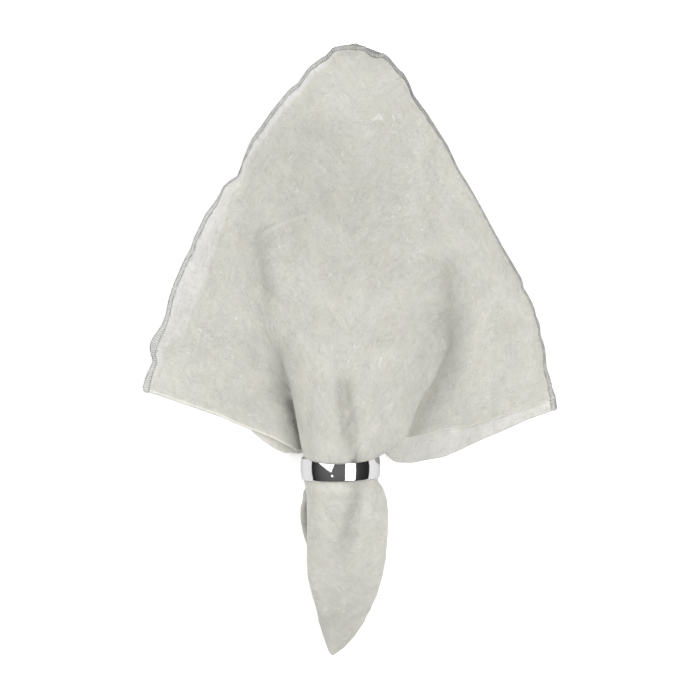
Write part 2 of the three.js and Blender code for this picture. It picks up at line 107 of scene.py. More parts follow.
WING = {  # x, y, z
    -1: [
        (-15.9, -128.5, 4.0), (-14.6, -117.6, 3.0), (-13.6, -94.2, 3.1),
        (-12.6, -77.6, 5.2), (-11.8, -66.0, 9.2), (-11.8, -51.0, 9.2),
        (-13.2, -46.2, 9.0), (-17.2, -41.6, 8.6), (-23.4, -38.2, 7.8),
        (-36.0, -32.0, 7.4), (-46.5, -25.5, 6.6), (-54.0, -20.5, 5.4),
        (-62.0, -15.5, 4.0), (-75.5, -8.5, 2.85), (-89.0, -1.5, 2.75),
        (-100.8, 4.6, 2.75),
    ],
    1: [
        (10.6, -128.5, 4.0), (9.6, -117.6, 3.0), (9.4, -94.2, 3.1), (6.4, -77.6, 5.2),
        (2.4, -66.0, 9.2), (2.4, -51.0, 9.2), (4.2, -46.4, 9.1), (10.0, -42.0, 8.8),
        (17.6, -41.4, 8.0), (29.0, -40.0, 6.0), (41.5, -34.0, 4.3), (49.0, -30.0, 3.6),
        (57.5, -26.5, 3.1), (73.0, -19.5, 2.9), (87.5, -12.5, 2.75), (100.4, -6.0, 2.75),
    ],
}
EDGE = {  # x, y, z, and how far the upper pair's fold stays inside the lower's
    -1: [
        (-10.4, -154.9, 2.9, 0), (-9.8, -147.4, 3.0, 0), (-12.7, -137.4, 2.9, 0),
        (-15.7, -128.6, 2.9, 0), (-14.0, -118.0, 2.9, 0), (-22.8, -92.6, 5.0, 0),
        (-24.0, -78.2, 7.0, 0), (-15.7, -66.0, 9.0, 0), (-15.7, -51.0, 9.0, 0),
        (-19.0, -50.0, 8.8, 0), (-25.0, -50.8, 8.0, 0), (-30.0, -47.6, 7.0, 0),
        (-40.0, -44.2, 5.2, 0), (-51.4, -40.2, 3.9, 0), (-58.4, -37.2, 2.8, 0),
        (-66.4, -31.2, 2.8, 0), (-80.0, -26.6, 2.8, 0), (-93.4, -22.2, 2.75, 0),
        (-105.6, -18.8, 2.75, 0),
    ],
    1: [
        (-7.4, -154.9, 2.9, 0.0), (-2.2, -147.4, 3.0, 0.0), (5.7, -137.4, 2.9, 0.0),
        (10.8, -128.6, 2.9, 0.0), (12.4, -118.0, 2.9, 0.0), (14.0, -94.6, 3.0, 0.0),
        (11.0, -77.8, 5.0, 0.0), (6.2, -66.0, 9.0, 0.0), (6.2, -51.0, 9.0, 0.0),
        (8.6, -48.2, 8.9, 0.3), (15.4, -49.6, 8.6, 2.0), (22.8, -55.4, 7.0, 6.0),
        (33.6, -57.0, 4.6, 9.5), (47.0, -53.0, 3.2, 11.0), (54.6, -50.6, 2.9, 9.6),
        (63.4, -47.0, 2.85, 8.4), (77.6, -41.4, 2.85, 6.5), (91.5, -35.0, 2.75, 5.5),
        (104.6, -30.0, 2.75, 5.0),
    ],
}
# How far the sections swing round towards the wings, in degrees, from the band's
# rim to the hems: front turn, back turn, wing, edge.
SWING_TAU = TAU[8:]
SWING = [
    (0, 0, 0, 0), (4, 14, 26, 42), (10, 32, 50, 66), (14, 40, 60, 72), (16, 43, 62, 72),
    (18, 44, 62, 72), (20, 45, 62, 72), (24, 48, 64, 73), (34, 54, 68, 75),
    (42, 60, 71, 77), (48, 66, 74, 80),
]

# The outline of the loose hems as seen from above, left corner to right corner,
# x and y in mm on the table.
OUTLINE = [
    (-107.4, -24.2), (-106.7, -21.6), (-105.9, -18.5), (-103.8, -11.8), (-101.5, -6.7), (-101.5, -4.1),
    (-102.7, -0.5), (-102.5, 4.1), (-100.2, 7.7), (-97.1, 11.8), (-94.3, 18.5), (-93.2, 24.7),
    (-90.7, 32.9), (-87.9, 40.6), (-84.8, 47.3), (-82.2, 51.9), (-80.7, 57.1), (-77.1, 63.7),
    (-74.0, 69.9), (-69.6, 75.6), (-67.3, 79.4), (-64.8, 84.3), (-61.7, 86.9), (-57.6, 89.4),
    (-56.5, 93.0), (-54.0, 100.2), (-50.4, 108.5), (-44.7, 116.2), (-38.5, 124.9), (-31.4, 133.6),
    (-26.7, 137.2), (-22.6, 142.9), (-20.6, 145.5), (-15.9, 149.1), (-11.6, 151.6), (-8.7, 155.6),
    (-4.1, 157.1), (-0.5, 158.0), (7.2, 157.5), (9.5, 155.4), (12.4, 153.5), (17.7, 153.3), (20.3, 150.6),
    (22.6, 147.5), (25.2, 144.4), (27.2, 142.9), (28.8, 140.3), (30.8, 136.0), (32.4, 130.8),
    (38.0, 123.9), (43.7, 115.7), (49.9, 105.4), (56.0, 93.0), (62.7, 81.7), (70.4, 67.8), (79.2, 51.9),
    (85.3, 41.1), (88.4, 35.5), (89.4, 31.4), (92.0, 27.8), (94.6, 22.1), (95.6, 16.4), (97.2, 14.4),
    (97.7, 11.8), (97.7, 8.2), (99.7, 3.1), (100.7, -1.5), (101.3, -9.3), (103.3, -14.4),
    (104.9, -20.6), (106.4, -27.2), (105.9, -30.3), (105.4, -34.0),
]
# The folds at the foot of the wings, seen the same way, from the corners inwards.
FOOT_LEFT = [(-110.0, -19.8), (-101.8, -22.4), (-84.3, -28.3), (-66.8, -34.4), (-56.0, -39.3), (-47.8, -42.5),
             (-38.6, -46.2), (-29.8, -50.9), (-25.4, -53.3), (-20.6, -55.4)]
FOOT_RIGHT = [(110.0, -28.9), (101.3, -32.7), (92.5, -35.6), (80.2, -41.3), (66.8, -46.9), (56.5, -51.9),
              (48.8, -55.2), (40.1, -56.8), (32.4, -58.3), (23.6, -57.9), (18.8, -55.5), (15.7, -53.4), (11.0, -51.0)]
FOOT_UPPER = [(112.0, -22.0), (102.8, -25.7), (87.9, -31.4), (72.5, -36.0), (60.7, -39.8), (47.8, -41.4),
              (37.0, -44.2), (28.8, -45.7), (20.0, -46.8), (10.0, -47.4)]
# How far the lower leaf of the left fold stands out beyond the upper one.
WEDGE = [(-47.0, 0.0), (-42.0, 1.5), (-39.0, 2.8), (-36.0, 4.3), (-26.0, 5.4), (-16.0, 4.2), (-7.0, 2.2), (0.0, 0.0)]
# The tail's two sides as seen from above: y, left x, right x.
TAIL = [(-66.0, -23.4, 15.3), (-70.4, -22.9, 16.9), (-76.6, -22.3, 19.0), (-84.8, -22.1, 19.8),
        (-94.6, -22.1, 19.5), (-107.4, -22.3, 18.5), (-117.2, -21.8, 16.6), (-126.4, -19.4, 13.8),
        (-133.1, -17.4, 10.5), (-140.3, -15.1, 6.0), (-147.5, -12.6, 1.2), (-152.7, -10.6, -3.4), (-155.2, -9.9, -6.4),
        (-156.8, -9.3, -8.6), (-160.0, -9.1, -8.9)]
TIP_DROP = 1.4

# How far each layer's hem stays inside that outline, lowest layer first.  h is
# the distance along the hem from the corner at the top, minus to the left.
HEM_H = [-225, -216, -208, -199, -194, -188, -181, -172, -150, -125, -113, -106, -98, -91, -80, -60, -35, -15,
         0, 14, 26, 40, 56, 66, 90, 120, 150, 175, 190, 205, 216, 225]
HEM_INSET = [
    [1.0, 1.4, 1.6, 1.6, 1.8, 2.4, 3.6, 5.4, 7.5, 6.5, 2.4, 1.2, 1.0, 2.5, 5.0, 6.0, 5.2, 2.4,
     0.2, 0.6, 1.9, 2.2, 2.0, 1.4, 2.0, 2.2, 2.2, 2.0, 1.7, 1.3, 0.4, -0.9],
    [1.8, 2.6, 5.0, 8.0, 9.0, 11.0, 13.0, 14.0, 15.0, 13.0, 9.0, 6.0, 5.0, 5.6, 6.2, 7.0, 6.4, 4.4,
     2.2, 2.0, 2.6, 2.8, 2.6, 2.2, 2.6, 2.8, 2.6, 2.4, 2.2, 1.9, 1.2, 0.4],
    [3.6, 4.0, 6.0, 8.6, 9.6, 11.6, 13.6, 14.6, 15.6, 13.6, 9.4, 6.4, 5.4, 6.0, 6.8, 7.6, 6.8, 4.8,
     3.0, 2.8, 3.0, 3.2, 3.0, 2.4, 2.2, 2.4, 2.4, 2.2, 2.0, 2.0, 1.8, 1.6],
    [0.0, 0.0, 0.0, 0.0, 0.0, 0.0, 0.0, 0.0, 0.0, 0.0, 0.0, 0.0, 0.0, 0.0, 0.0, 0.0, 0.0, 0.0,
     1.0, 0.7, 0.0, 0.0, 0.0, 0.0, 0.0, 0.0, 0.0, 0.0, 0.1, 0.1, 0.2, 0.4],
]
# How much of the stitched hem shows from above: less where it has rolled under.
ROLLED = [(-225, 1.5), (-216, 1.15), (-210, 0.85), (-206, 1.2), (-201, 1.8), (-196, 1.5), (-190, 1.0), (-120, 1.0), (-112, 0.45), (-92, 0.35), (-86, 1.0), (0, 1.0), (50, 0.95), (62, 0.9),
          (80, 0.65), (110, 0.38), (180, 0.36), (200, 0.45), (214, 0.8), (225, 1.0)]

# The cloth's roll over the band's upper rim: tau, along y, away from the axis.
ROLL = [(-54.6, 0.0, 0.0), (-53.2, 0.3, 0.0), (-52.3, 0.2, 0.6), (-51.4, -0.4, 2.0), (-50.5, -2.3, 2.7),
        (-49.6, -4.6, 2.8), (-48.7, -5.95, 3.5), (-47.7, -5.6, 4.1), (-46.4, -4.4, 4.3), (-44.6, -2.8, 4.0),
        (-42.0, -1.2, 3.0), (-38.0, -0.2, 1.4), (-33.0, 0.0, 0.3), (-29.0, 0.0, 0.0)]
# how much of it there is round the band, in degrees from the top
ROLL_ROUND = [(-90, 0.0), (-66, 0.35), (-46, 0.74), (-20, 0.95), (0, 1.0), (20, 0.85), (44, 0.5), (66, 0.2), (90, 0.0)]

# Soft troughs (minus) and ridges (plus): part, from x y, by way of x y, to x y, height, half width.
CREASES = [
    ("panel", (-48.0, 55.0), (-33.4, 64.6), (-18.0, 68.5), 1.3, 1.7),
    ("panel", (-46.0, 50.0), (-34.0, 59.0), (-21.0, 63.0), -0.75, 3.0),
    ("panel", (-30.0, 20.0), (-22.0, 8.0), (-16.0, -12.0), -0.45, 5.0),
    ("panel", (16.0, 96.0), (28.0, 84.0), (36.0, 66.0), 0.35, 4.0),
    ("panel", (20.0, 40.0), (28.0, 20.0), (30.0, 0.0), 0.45, 5.0),
    ("panel", (-14.0, 118.0), (-4.0, 108.0), (10.0, 104.0), -0.35, 4.0),
    ("panel", (51.5, 48.5), (55.0, 46.0), (61.5, 44.0), 0.50, 1.3),
    ("panel", (47.0, 44.0), (51.0, 22.0), (48.0, 2.0), -1.1, 6.5),
    ("panel", (-48.0, 60.0), (-45.5, 42.0), (-42.0, 22.0), -0.9, 5.0),
    ("panel", (-4.2, -8.0), (-1.4, -32.0), (2.6, -50.0), -3.4, 3.8),
    ("panel", (-9.5, -22.0), (-9.0, -34.0), (-7.5, -46.0), 0.45, 3.0),
    ("panel", (1.2, -63.0), (2.2, -78.0), (-6.0, -104.0), -2.4, 3.3),
    ("panel", (2.2, -66.0), (3.2, -74.0), (1.6, -86.0), -0.7, 1.5),
    ("panel", (-19.0, -70.6), (-8.0, -72.4), (1.0, -71.0), -0.40, 0.8),
    ("panel", (-17.0, -73.6), (-10.0, -74.8), (-4.0, -73.6), -0.25, 0.7),
    ("panel", (-14.0, -74.0), (-11.0, -82.0), (-9.5, -92.0), -0.50, 1.5),
    ("panel", (10.0, -70.0), (11.5, -78.0), (12.0, -88.0), -0.45, 1.4),
    ("panel", (-2.0, -98.0), (-5.0, -110.0), (-4.0, -124.0), -0.30, 2.4),
    ("panel", (-17.5, -48.5), (-18.5, -40.0), (-20.0, -28.0), -0.45, 1.6),
    ("panel", (9.0, -50.0), (14.0, -42.0), (20.0, -30.0), -0.50, 2.0),
    ("wing", (-62.0, -14.0), (-74.0, -12.0), (-90.0, -8.0), 0.35, 3.0),
    ("wing", (-58.0, -30.0), (-70.0, -22.0), (-84.0, -19.0), -0.30, 3.0),
    ("wing", (52.0, -26.0), (66.0, -18.0), (82.0, -14.0), -0.35, 4.0),
    ("wing", (58.0, -38.0), (74.0, -33.0), (92.0, -25.0), 0.30, 3.0),
]
# Flanks: the cloth is higher on one side of the line than on the other.
# from x y, by way of x y, to x y, height (plus: right side up), half width, reach
FLANKS = [
    ((-49.0, 66.0), (-45.0, 44.0), (-37.0, 12.0), 1.9, 4.2, 20.0),
    ((45.0, 54.0), (50.5, 26.0), (46.0, -4.0), -3.4, 6.5, 20.0),
    ((-30.0, 122.0), (-26.0, 100.0), (-30.0, 76.0), 0.5, 5.0, 18.0),
]

# Broad, soft patches of painted shade (minus) and painted light (plus) on the front, in the valleys, on the flanks and
# on the tail: x, y, half width, half height, amount.
PAINTED_LIGHT_AND_SHADE = [(-4.0, 84.0, 34.0, 38.0, -0.10), (-3.0, 76.0, 18.0, 14.0, -0.04), (-21.0, 0.0, 9.0, 16.0, -0.025), (-3.0, 126.0, 16.0, 14.0, 0.03),
         (-30.0, 92.0, 14.0, 30.0, -0.06), (32.0, 88.0, 20.0, 34.0, -0.01), (8.0, 42.0, 30.0, 16.0, -0.045),
         (34.0, -4.0, 14.0, 22.0, -0.075), (2.0, -26.0, 16.0, 14.0, -0.05), (-47.0, 42.0, 11.0, 26.0, -0.10),
         (49.0, 17.0, 9.0, 22.0, -0.11), (40.0, 15.0, 7.0, 24.0, -0.06), (-66.0, 12.0, 12.0, 24.0, -0.015),
         (40.0, 52.0, 12.0, 14.0, -0.03), (-6.0, -106.0, 8.0, 26.0, -0.01), (11.0, -98.0, 9.0, 26.0, 0.03),
         (-97.0, -13.0, 13.0, 9.0, 0.085), (56.0, 14.0, 5.0, 22.0, -0.05), (-16.0, -90.0, 8.0, 34.0, 0.065),
         (-20.5, -86.0, 3.0, 26.0, 0.06), (3.4, -53.0, 5.5, 4.5, -0.10), (2.0, -54.2, 1.7, 1.3, -0.45),
         (-37.0, -43.0, 7.0, 4.0, 0.13), (-33.5, -46.5, 4.5, 2.6, 0.08), (-9.0, -67.6, 15.0, 2.2, 0.13),
         (-13.0, -75.0, 9.0, 13.0, 0.035), (0.0, -105.0, 16.0, 26.0, 0.018), (-24.0, -46.0, 1.9, 5.0, 0.10)]
# Painted shade along lines, in the valleys beside the lobe, in the grooves and in the slit beside the tail, with a
# painted highlight on the crease at the upper left and a darker band along the hem at the apex: the highest z it
# reaches, from x y, by way of x y, to x y, amount, half width.
PAINTED_LIGHT_AND_SHADE_LINES = [
    (11.0, (-32.4, -22.0), (-27.0, -38.0), (-21.2, -70.0), -0.33, 2.0),
    (11.0, (-32.5, -25.0), (-30.0, -31.0), (-28.6, -40.0), -0.20, 3.2),
    (12.0, (-28.2, -34.0), (-26.8, -43.0), (-24.0, -56.0), -0.34, 1.5),
    (11.0, (-52.0, 14.0), (-45.0, -12.0), (-36.0, -34.0), -0.10, 8.0),
    (11.0, (53.0, 12.0), (42.0, -24.0), (22.0, -54.0), -0.13, 6.5),
    (9.5, (-23.6, -66.0), (-22.6, -80.0), (-22.2, -98.0), -0.26, 1.1),
    (99.0, (-4.4, -8.0), (-1.0, -34.0), (4.4, -66.0), -0.17, 3.6),
    (99.0, (0.9, -57.0), (1.4, -78.0), (-6.8, -110.0), -0.17, 4.2),
    (99.0, (-16.0, 147.0), (2.0, 153.0), (25.0, 141.0), -0.10, 3.0),
    (99.0, (-50.0, 54.0), (-33.4, 64.6), (-16.0, 68.8), 0.07, 1.2),
    (99.0, (-50.0, 50.0), (-36.0, 59.5), (-22.0, 64.0), -0.04, 2.6),
]

# ---- curves -------------------------------------------------------------------------
def monotone(xs, ys, xq):
    """A cubic through the rows that never overshoots them."""
    xs, ys, xq = np.asarray(xs, float), np.asarray(ys, float), np.asarray(xq, float)
    if ys.ndim == 1:
        return monotone(xs, ys[:, None], xq)[:, 0]
    h = np.diff(xs)[:, None]
    d = np.diff(ys, axis=0) / h
    m = np.zeros_like(ys)
    m[0], m[-1] = d[0], d[-1]
    w1, w2 = 2 * h[1:] + h[:-1], h[1:] + 2 * h[:-1]
    same = d[:-1] * d[1:] > 0
    safe = lambda v: np.where(np.abs(v) < 1e-12, 1e-12, v)
    m[1:-1] = np.where(same, (w1 + w2) / (w1 / safe(d[:-1]) + w2 / safe(d[1:])), 0.0)
    k = np.clip(np.searchsorted(xs, xq, side="right") - 1, 0, len(xs) - 2)
    t = ((xq - xs[k]) / h[k, 0])[:, None]
    t = np.clip(t, 0, 1)
    t2, t3 = t * t, t * t * t
    return ((2 * t3 - 3 * t2 + 1) * ys[k] + (t3 - 2 * t2 + t) * h[k] * m[k]
            + (-2 * t3 + 3 * t2) * ys[k + 1] + (t3 - t2) * h[k] * m[k + 1])


def blurred(values, sigma):
    """Rows half a millimetre apart, smoothed with both ends held."""
    n = int(sigma * 2 * 3) + 1
    k = np.exp(-0.5 * (np.arange(-n, n + 1) / (sigma * 2)) ** 2)
    k /= k.sum()
    low = 2 * values[0] - values[1:n + 1][::-1]
    high = 2 * values[-1] - values[-n - 1:-1][::-1]
    padded = np.concatenate([low, values, high])
    return np.stack([np.convolve(padded[:, c], k, "valid") for c in range(values.shape[1])], 1)


def smoothstep(a, b, x):
    t = np.clip((np.asarray(x, float) - a) / (b - a), 0, 1)
    return t * t * (3 - 2 * t)


GRID = np.arange(TAU[0], TAU[-1] + 0.01, 0.5)


def smooth_rows(taus, rows):
    """The table's columns at every half millimetre of tau, soft but close to it."""
    exact = monotone(taus, rows, GRID)
    fine, wide = blurred(exact, 1.0), blurred(exact, 5.0)
    near = np.exp(-((GRID - (-50.0)) / 20.0) ** 2)[:, None]   # the band and its rims
    return fine * near + wide * (1 - near)


def along(rows, tau):
    return np.stack([np.interp(tau, GRID, rows[:, c]) for c in range(rows.shape[1])], 1)


PLEAT_TAU = TAU[ARCHED:]
crown_rows = smooth_rows(TAU, [(c[0], t, c[1], c[2]) for t, c in zip(TAU, CROWN)])
front_rows = {s: smooth_rows(PLEAT_TAU, FRONT[s]) for s in (-1, 1)}
back_rows = {s: smooth_rows(PLEAT_TAU, BACK[s]) for s in (-1, 1)}
wing_rows = {s: smooth_rows(PLEAT_TAU, WING[s]) for s in (-1, 1)}
edge_rows = {s: smooth_rows(TAU, EDGE[s]) for s in (-1, 1)}
swing_rows = smooth_rows([TAU[0]] + SWING_TAU, [(0, 0, 0, 0)] + SWING)

# ---- rows and columns of the sheet ----------------------------------------------------
def spaced(*stops):
    """Rows from stop to stop: (tau, how many steps to the next)."""
    out = []
    for (a, n), (b, _) in zip(stops, stops[1:]):
        out.extend(np.linspace(a, b, n, endpoint=False))
    return np.array(out + [stops[-1][0]])


ROWS = spaced((-155.0, 12), (-134.5, 8), (-125.0, 20), (-84.0, 11), (-66.0, 6), (-54.6, 24),
              (-42.0, 7), (-34.0, 16), (0.0, 16), (36.0, 40), (84.0, 18), (120.0, 16), (148.0, 8), (156.8, 0))
RUNS = {"panel": 44, "pleat": 30, "behind": 16, "wing": 12}
ARCH_SHARE = [0, 0.62, 0.86, 0.95, 1]


def cubic(a, ta, b, tb, t):
    t = t[:, None]
    t2, t3 = t * t, t * t * t
    return (2 * t3 - 3 * t2 + 1) * a + (t3 - 2 * t2 + t) * ta + (-2 * t3 + 3 * t2) * b + (t3 - t2) * tb


def heading(side, turn, tilt):
    t, s = math.radians(turn), math.radians(tilt)
    return np.array([side * math.cos(t) * math.cos(s), -math.sin(t) * math.cos(s), -math.sin(s)])


def unit(v):
    return v / max(np.linalg.norm(v), 1e-9)


def arch(C, E, side, shares):
    wide = math.hypot(E[0] - C[0], E[1] - C[1])
    drop = C[2] - E[2]
    upright = min(1.0, max(drop, 0.0) / wide)
    span = np.linalg.norm(C - E)
    tC = np.array([side * (span + 0.66 * wide * upright), 0, 0])
    tE = heading(side, 12, 80 * upright) * (span + (1.66 * drop - span) * upright)
    return cubic(C, tC, E, tE, shares)


def half_section(k, side, trim=0.0):
    """Points of the middle surface on one side of row k, crown first."""
    tau = ROWS[k]
    x, y, z, groove = CROWN_AT[k]
    C = np.array([x, y, z])
    E = EDGE_AT[side][k][:3]
    steps = {name: np.linspace(0, 1, n + 1)[1:] for name, n in RUNS.items()}
    shares = np.concatenate([[0.0]] + [
        ARCH_SHARE[r] + (ARCH_SHARE[r + 1] - ARCH_SHARE[r]) * t for r, t in enumerate(steps.values())])
    out_arch = arch(C, E, side, shares) if tau < -124 else None
    weight = float(smoothstep(-136.0, -124.0, tau))
    if weight <= 0:
        return pressed(out_arch, C, groove)
    F, B, W = FRONT_AT[side][k], BACK_AT[side][k], WING_AT[side][k]
    tilt_f, tilt_b = F[3], B[3]
    F, B, W = F[:3].copy(), B[:3].copy(), W[:3].copy()
    if tau < -125:   # past the last row of the pleat its lines run straight on
        for q in (F, B, W):
            q[1] += tau + 125
    sf, sb, sw, se = SWING_AT[k]
    dF, dB = heading(side, sf, tilt_f), heading(side, sb, tilt_b)
    upright = math.sin(math.radians(tilt_f)) ** 2
    mix = lambda a, b, t: a + (b - a) * t
    wide, drop, span = math.hypot(F[0] - C[0], F[1] - C[1]), C[2] - F[2], np.linalg.norm(C - F)
    tC = np.array([side, 0, 0]) * mix(span, 1.66 * wide, upright)
    tF = dF * mix(span, 1.66 * drop, upright)
    step = B - F

    def reach(way):
        aside = np.linalg.norm(step - way * (step @ way))
        return max(np.linalg.norm(step), math.sqrt(6 * aside * TURN) * upright)

    to_wing, from_back, onward = np.linalg.norm(W - B), unit(W - B), unit(E - W)
    fan = float(smoothstep(-51.0, -46.0, tau))
    to_edge = np.linalg.norm(E - W)
    level = heading(side, sw, 0)
    level[2] = (E[2] - B[2]) / np.linalg.norm(E - B) / 2
    dW = unit(mix(unit(onward + 0.3 * from_back), unit(level), fan))
    level = heading(side, se, 0)
    level[2] = (E[2] - W[2]) / to_edge
    dE = unit(mix(onward, unit(level), fan))
    far = 1 - min(trim / to_edge, 0.8)
    whole = np.concatenate([
        C[None],
        cubic(C, tC, F, tF, steps["panel"]),
        cubic(F, dF * reach(dF), B, dB * reach(dB), steps["pleat"]),
        cubic(B, dB * to_wing * mix(1, 1.2, upright), W, dW * to_wing, steps["behind"]),
        cubic(W, dW * to_edge, E, dE * to_edge, steps["wing"] * far),
    ])
    if weight < 1:
        whole = out_arch * (1 - weight) + whole * weight
    return pressed(whole, C, groove)


def pressed(points, C, groove):
    off = (points[:, 0] - C[0]) / 4.5
    points = points.copy()
    n = RUNS["panel"] + 1
    points[:n, 2] -= 0.45 * groove * np.exp(-off[:n] * off[:n])
    return points


CROWN_AT = along(crown_rows, ROWS)
FRONT_AT = {s: along(front_rows[s], ROWS) for s in (-1, 1)}
BACK_AT = {s: along(back_rows[s], ROWS) for s in (-1, 1)}
WING_AT = {s: along(wing_rows[s], ROWS) for s in (-1, 1)}
EDGE_AT = {s: along(edge_rows[s], ROWS) for s in (-1, 1)}
SWING_AT = along(swing_rows, ROWS)


EYE = 700.0          # height of the camera


def meet(origin, way, line):
    """How far along way each origin meets the line; origins and ways are rows of x y."""
    line = np.asarray(line, float)
    A, D = line[:-1], np.diff(line, axis=0)
    W = way / np.maximum(np.linalg.norm(way, axis=1, keepdims=True), 1e-9)
    cross = W[:, None, 0] * D[None, :, 1] - W[:, None, 1] * D[None, :, 0]
    cross = np.where(np.abs(cross) < 1e-9, 1e-9, cross)
    R = A[None] - origin[:, None]
    t = (R[..., 0] * D[None, :, 1] - R[..., 1] * D[None, :, 0]) / cross
    u = (R[..., 0] * W[:, None, 1] - R[..., 1] * W[:, None, 0]) / cross
    t = np.where((u >= -0.001) & (u <= 1.001), t, 1e6)
    best = np.abs(t).argmin(1)
    t = t[np.arange(len(t)), best]
    return np.where(np.abs(t) > 1e5, np.nan, t)


def filled(values):
    """Gaps take the nearest value on their side."""
    ok = ~np.isnan(values)
    return np.interp(np.arange(len(values)), np.where(ok)[0], values[ok])


def fit_feet():
    share = smoothstep(-44, -34, ROWS)
    for side, foot, bulge in ((-1, FOOT_LEFT, 1.5 * PITCH), (1, FOOT_RIGHT, 0.5 * PITCH)):
        edge = EDGE_AT[side]
        seen = EYE / (EYE - edge[:, 2])
        way = (edge - np.pad(WING_AT[side], ((0, 0), (0, 1))))[:, :2]
        way = way / np.linalg.norm(way, axis=1, keepdims=True)
        out = filled(meet(edge[:, :2] * seen[:, None], way, foot))
        move = (out - bulge) * share
        if side > 0:
            upper = filled(meet(edge[:, :2] * seen[:, None], way, FOOT_UPPER))
            gap = np.clip((out - bulge) - (upper - 0.5 * PITCH), 0, 15)
            edge[:, 3] = edge[:, 3] * (1 - share) + gap * share
        edge[:, :2] += way * np.clip(move, -8, 8)[:, None]


fit_feet()
EDGE_AT[-1][:, 0] -= 3.0 * np.exp(-((ROWS + 70.0) / 3.4) ** 2)   # it spreads at once below the band


def surface(trimmed):
    """The middle surface: rows by columns, left edge to right edge."""
    rows = []
    for k in range(len(ROWS)):
        left = half_section(k, -1)
        right = half_section(k, 1, EDGE_AT[1][k][3] if trimmed else 0.0)
        rows.append(np.concatenate([left[::-1][:-1], right]))
    return np.array(rows)


def normals(P):
    run = np.empty_like(P)
    run[1:-1] = P[2:] - P[:-2]
    run[0], run[-1] = P[1] - P[0], P[-1] - P[-2]
    side = np.empty_like(P)
    side[:, 1:-1] = P[:, 2:] - P[:, :-2]
    side[:, 0], side[:, -1] = P[:, 1] - P[:, 0], P[:, -1] - P[:, -2]
    run /= np.maximum(np.linalg.norm(run, axis=2, keepdims=True), 1e-9)
    side /= np.maximum(np.linalg.norm(side, axis=2, keepdims=True), 1e-9)
    n = np.cross(side, run)
    return n / np.maximum(np.linalg.norm(n, axis=2, keepdims=True), 1e-9), side, run


# ---- small unevenness -------------------------------------------------------------------
def value_noise(x, y, seed):
    """Smooth noise in -1..1, one bump to a unit."""
    rng = np.random.RandomState(seed)
    table = rng.uniform(-1, 1, (64, 64))
    xi, yi = np.floor(x).astype(int), np.floor(y).astype(int)
    fx, fy = x - xi, y - yi
    fx, fy = fx * fx * fx * (fx * (fx * 6 - 15) + 10), fy * fy * fy * (fy * (fy * 6 - 15) + 10)
    at = lambda i, j: table[i % 64, j % 64]
    return ((at(xi, yi) * (1 - fx) + at(xi + 1, yi) * fx) * (1 - fy)
            + (at(xi, yi + 1) * (1 - fx) + at(xi + 1, yi + 1) * fx) * fy)


def crumple(a, b):
    """Height of the cloth's slight unevenness at flat place a, b, in mm."""
    turn = lambda ang: (a * math.cos(ang) + b * math.sin(ang), -a * math.sin(ang) + b * math.cos(ang))
    total = 0
    for scale, height, ang, seed in ((34, 0.30, 0.3, 3), (17, 0.17, 1.1, 5), (8.5, 0.075, 0.7, 8), (5.0, 0.035, 0.2, 13)):
        u, v = turn(ang)
        total = total + height * value_noise(u / scale + 7, v / scale + 3, seed)
    return total


def beside(x, y, a, b, c):
    """Signed distance to the line a-b-c (plus on its left) and the share along it."""
    t = np.linspace(0, 1, 33)[:, None]
    a, b, c = (np.array(p, float) for p in (a, b, c))
    line = a * (1 - t) ** 2 + (2 * b - (a + c) / 2) * 2 * t * (1 - t) + c * t * t
    best = np.full(x.shape, 1e9)
    where, side = np.zeros(x.shape), np.ones(x.shape)
    for n in range(len(line) - 1):
        p, d = line[n], line[n + 1] - line[n]
        u = np.clip(((x - p[0]) * d[0] + (y - p[1]) * d[1]) / (d @ d), 0, 1)
        ex, ey = x - p[0] - u * d[0], y - p[1] - u * d[1]
        far = ex * ex + ey * ey
        closer = far < best
        best = np.where(closer, far, best)
        where = np.where(closer, (n + u) / (len(line) - 1), where)
        side = np.where(closer, np.sign(d[0] * ey - d[1] * ex), side)
    return np.sqrt(best) * side, where


def trough(x, y, a, b, c, half):
    """1 on the line a-b-c, falling to 0 beside it and at its ends."""
    off, where = beside(x, y, a, b, c)
    return np.exp(-(off / half) ** 2) * smoothstep(0, 0.22, where) * smoothstep(1, 0.78, where)


def flank(x, y, a, b, c, half, reach):
    """From -1 to 1 across the line a-b-c, dying away on both sides and at its ends."""
    off, where = beside(x, y, a, b, c)
    return np.tanh(off / half) * np.exp(-(off / reach) ** 2) * smoothstep(0, 0.3, where) * smoothstep(1, 0.7, where)


def eased(P):
    """Above the lobe the sections lose their sharper turns."""
    P = P.copy()
    for i in np.where(ROWS > -2)[0]:
        sigma = 4.2 * float(smoothstep(-4, 14, ROWS[i])) / 0.5
        s = run_length(P[i])
        q = np.arange(0, s[-1], 0.5)
        line = np.stack([np.interp(q, s, P[i][:, c]) for c in range(3)], 1)
        n = int(sigma * 3) + 1
        k = np.exp(-0.5 * (np.arange(-n, n + 1) / sigma) ** 2)
        k /= k.sum()
        padded = np.concatenate([2 * line[0] - line[1:n + 1][::-1], line, 2 * line[-1] - line[-n - 1:-1][::-1]])
        soft = np.stack([np.convolve(padded[:, c], k, "valid") for c in range(3)], 1)
        keep = smoothstep(0, 12, np.minimum(s, s[-1] - s))[:, None]
        P[i] += (np.stack([np.interp(s, q, soft[:, c]) for c in range(3)], 1) - P[i]) * keep
    return P


def run_length(line):
    return np.concatenate([[0], np.cumsum(np.linalg.norm(np.diff(line, axis=0), axis=1))])


# ---- flat places ---------------------------------------------------------------------------
middle = eased(surface(False))
upper = eased(surface(True))
COLS = middle.shape[1]
MID = (COLS - 1) // 2


d_left = run_length(middle[:, 0]); d_left *= HALF / d_left[-1]
d_right = run_length(middle[:, -1]); d_right *= HALF / d_right[-1]
d_crown = run_length(middle[:, MID]); d_crown *= HALF * math.sqrt(2) / d_crown[-1]


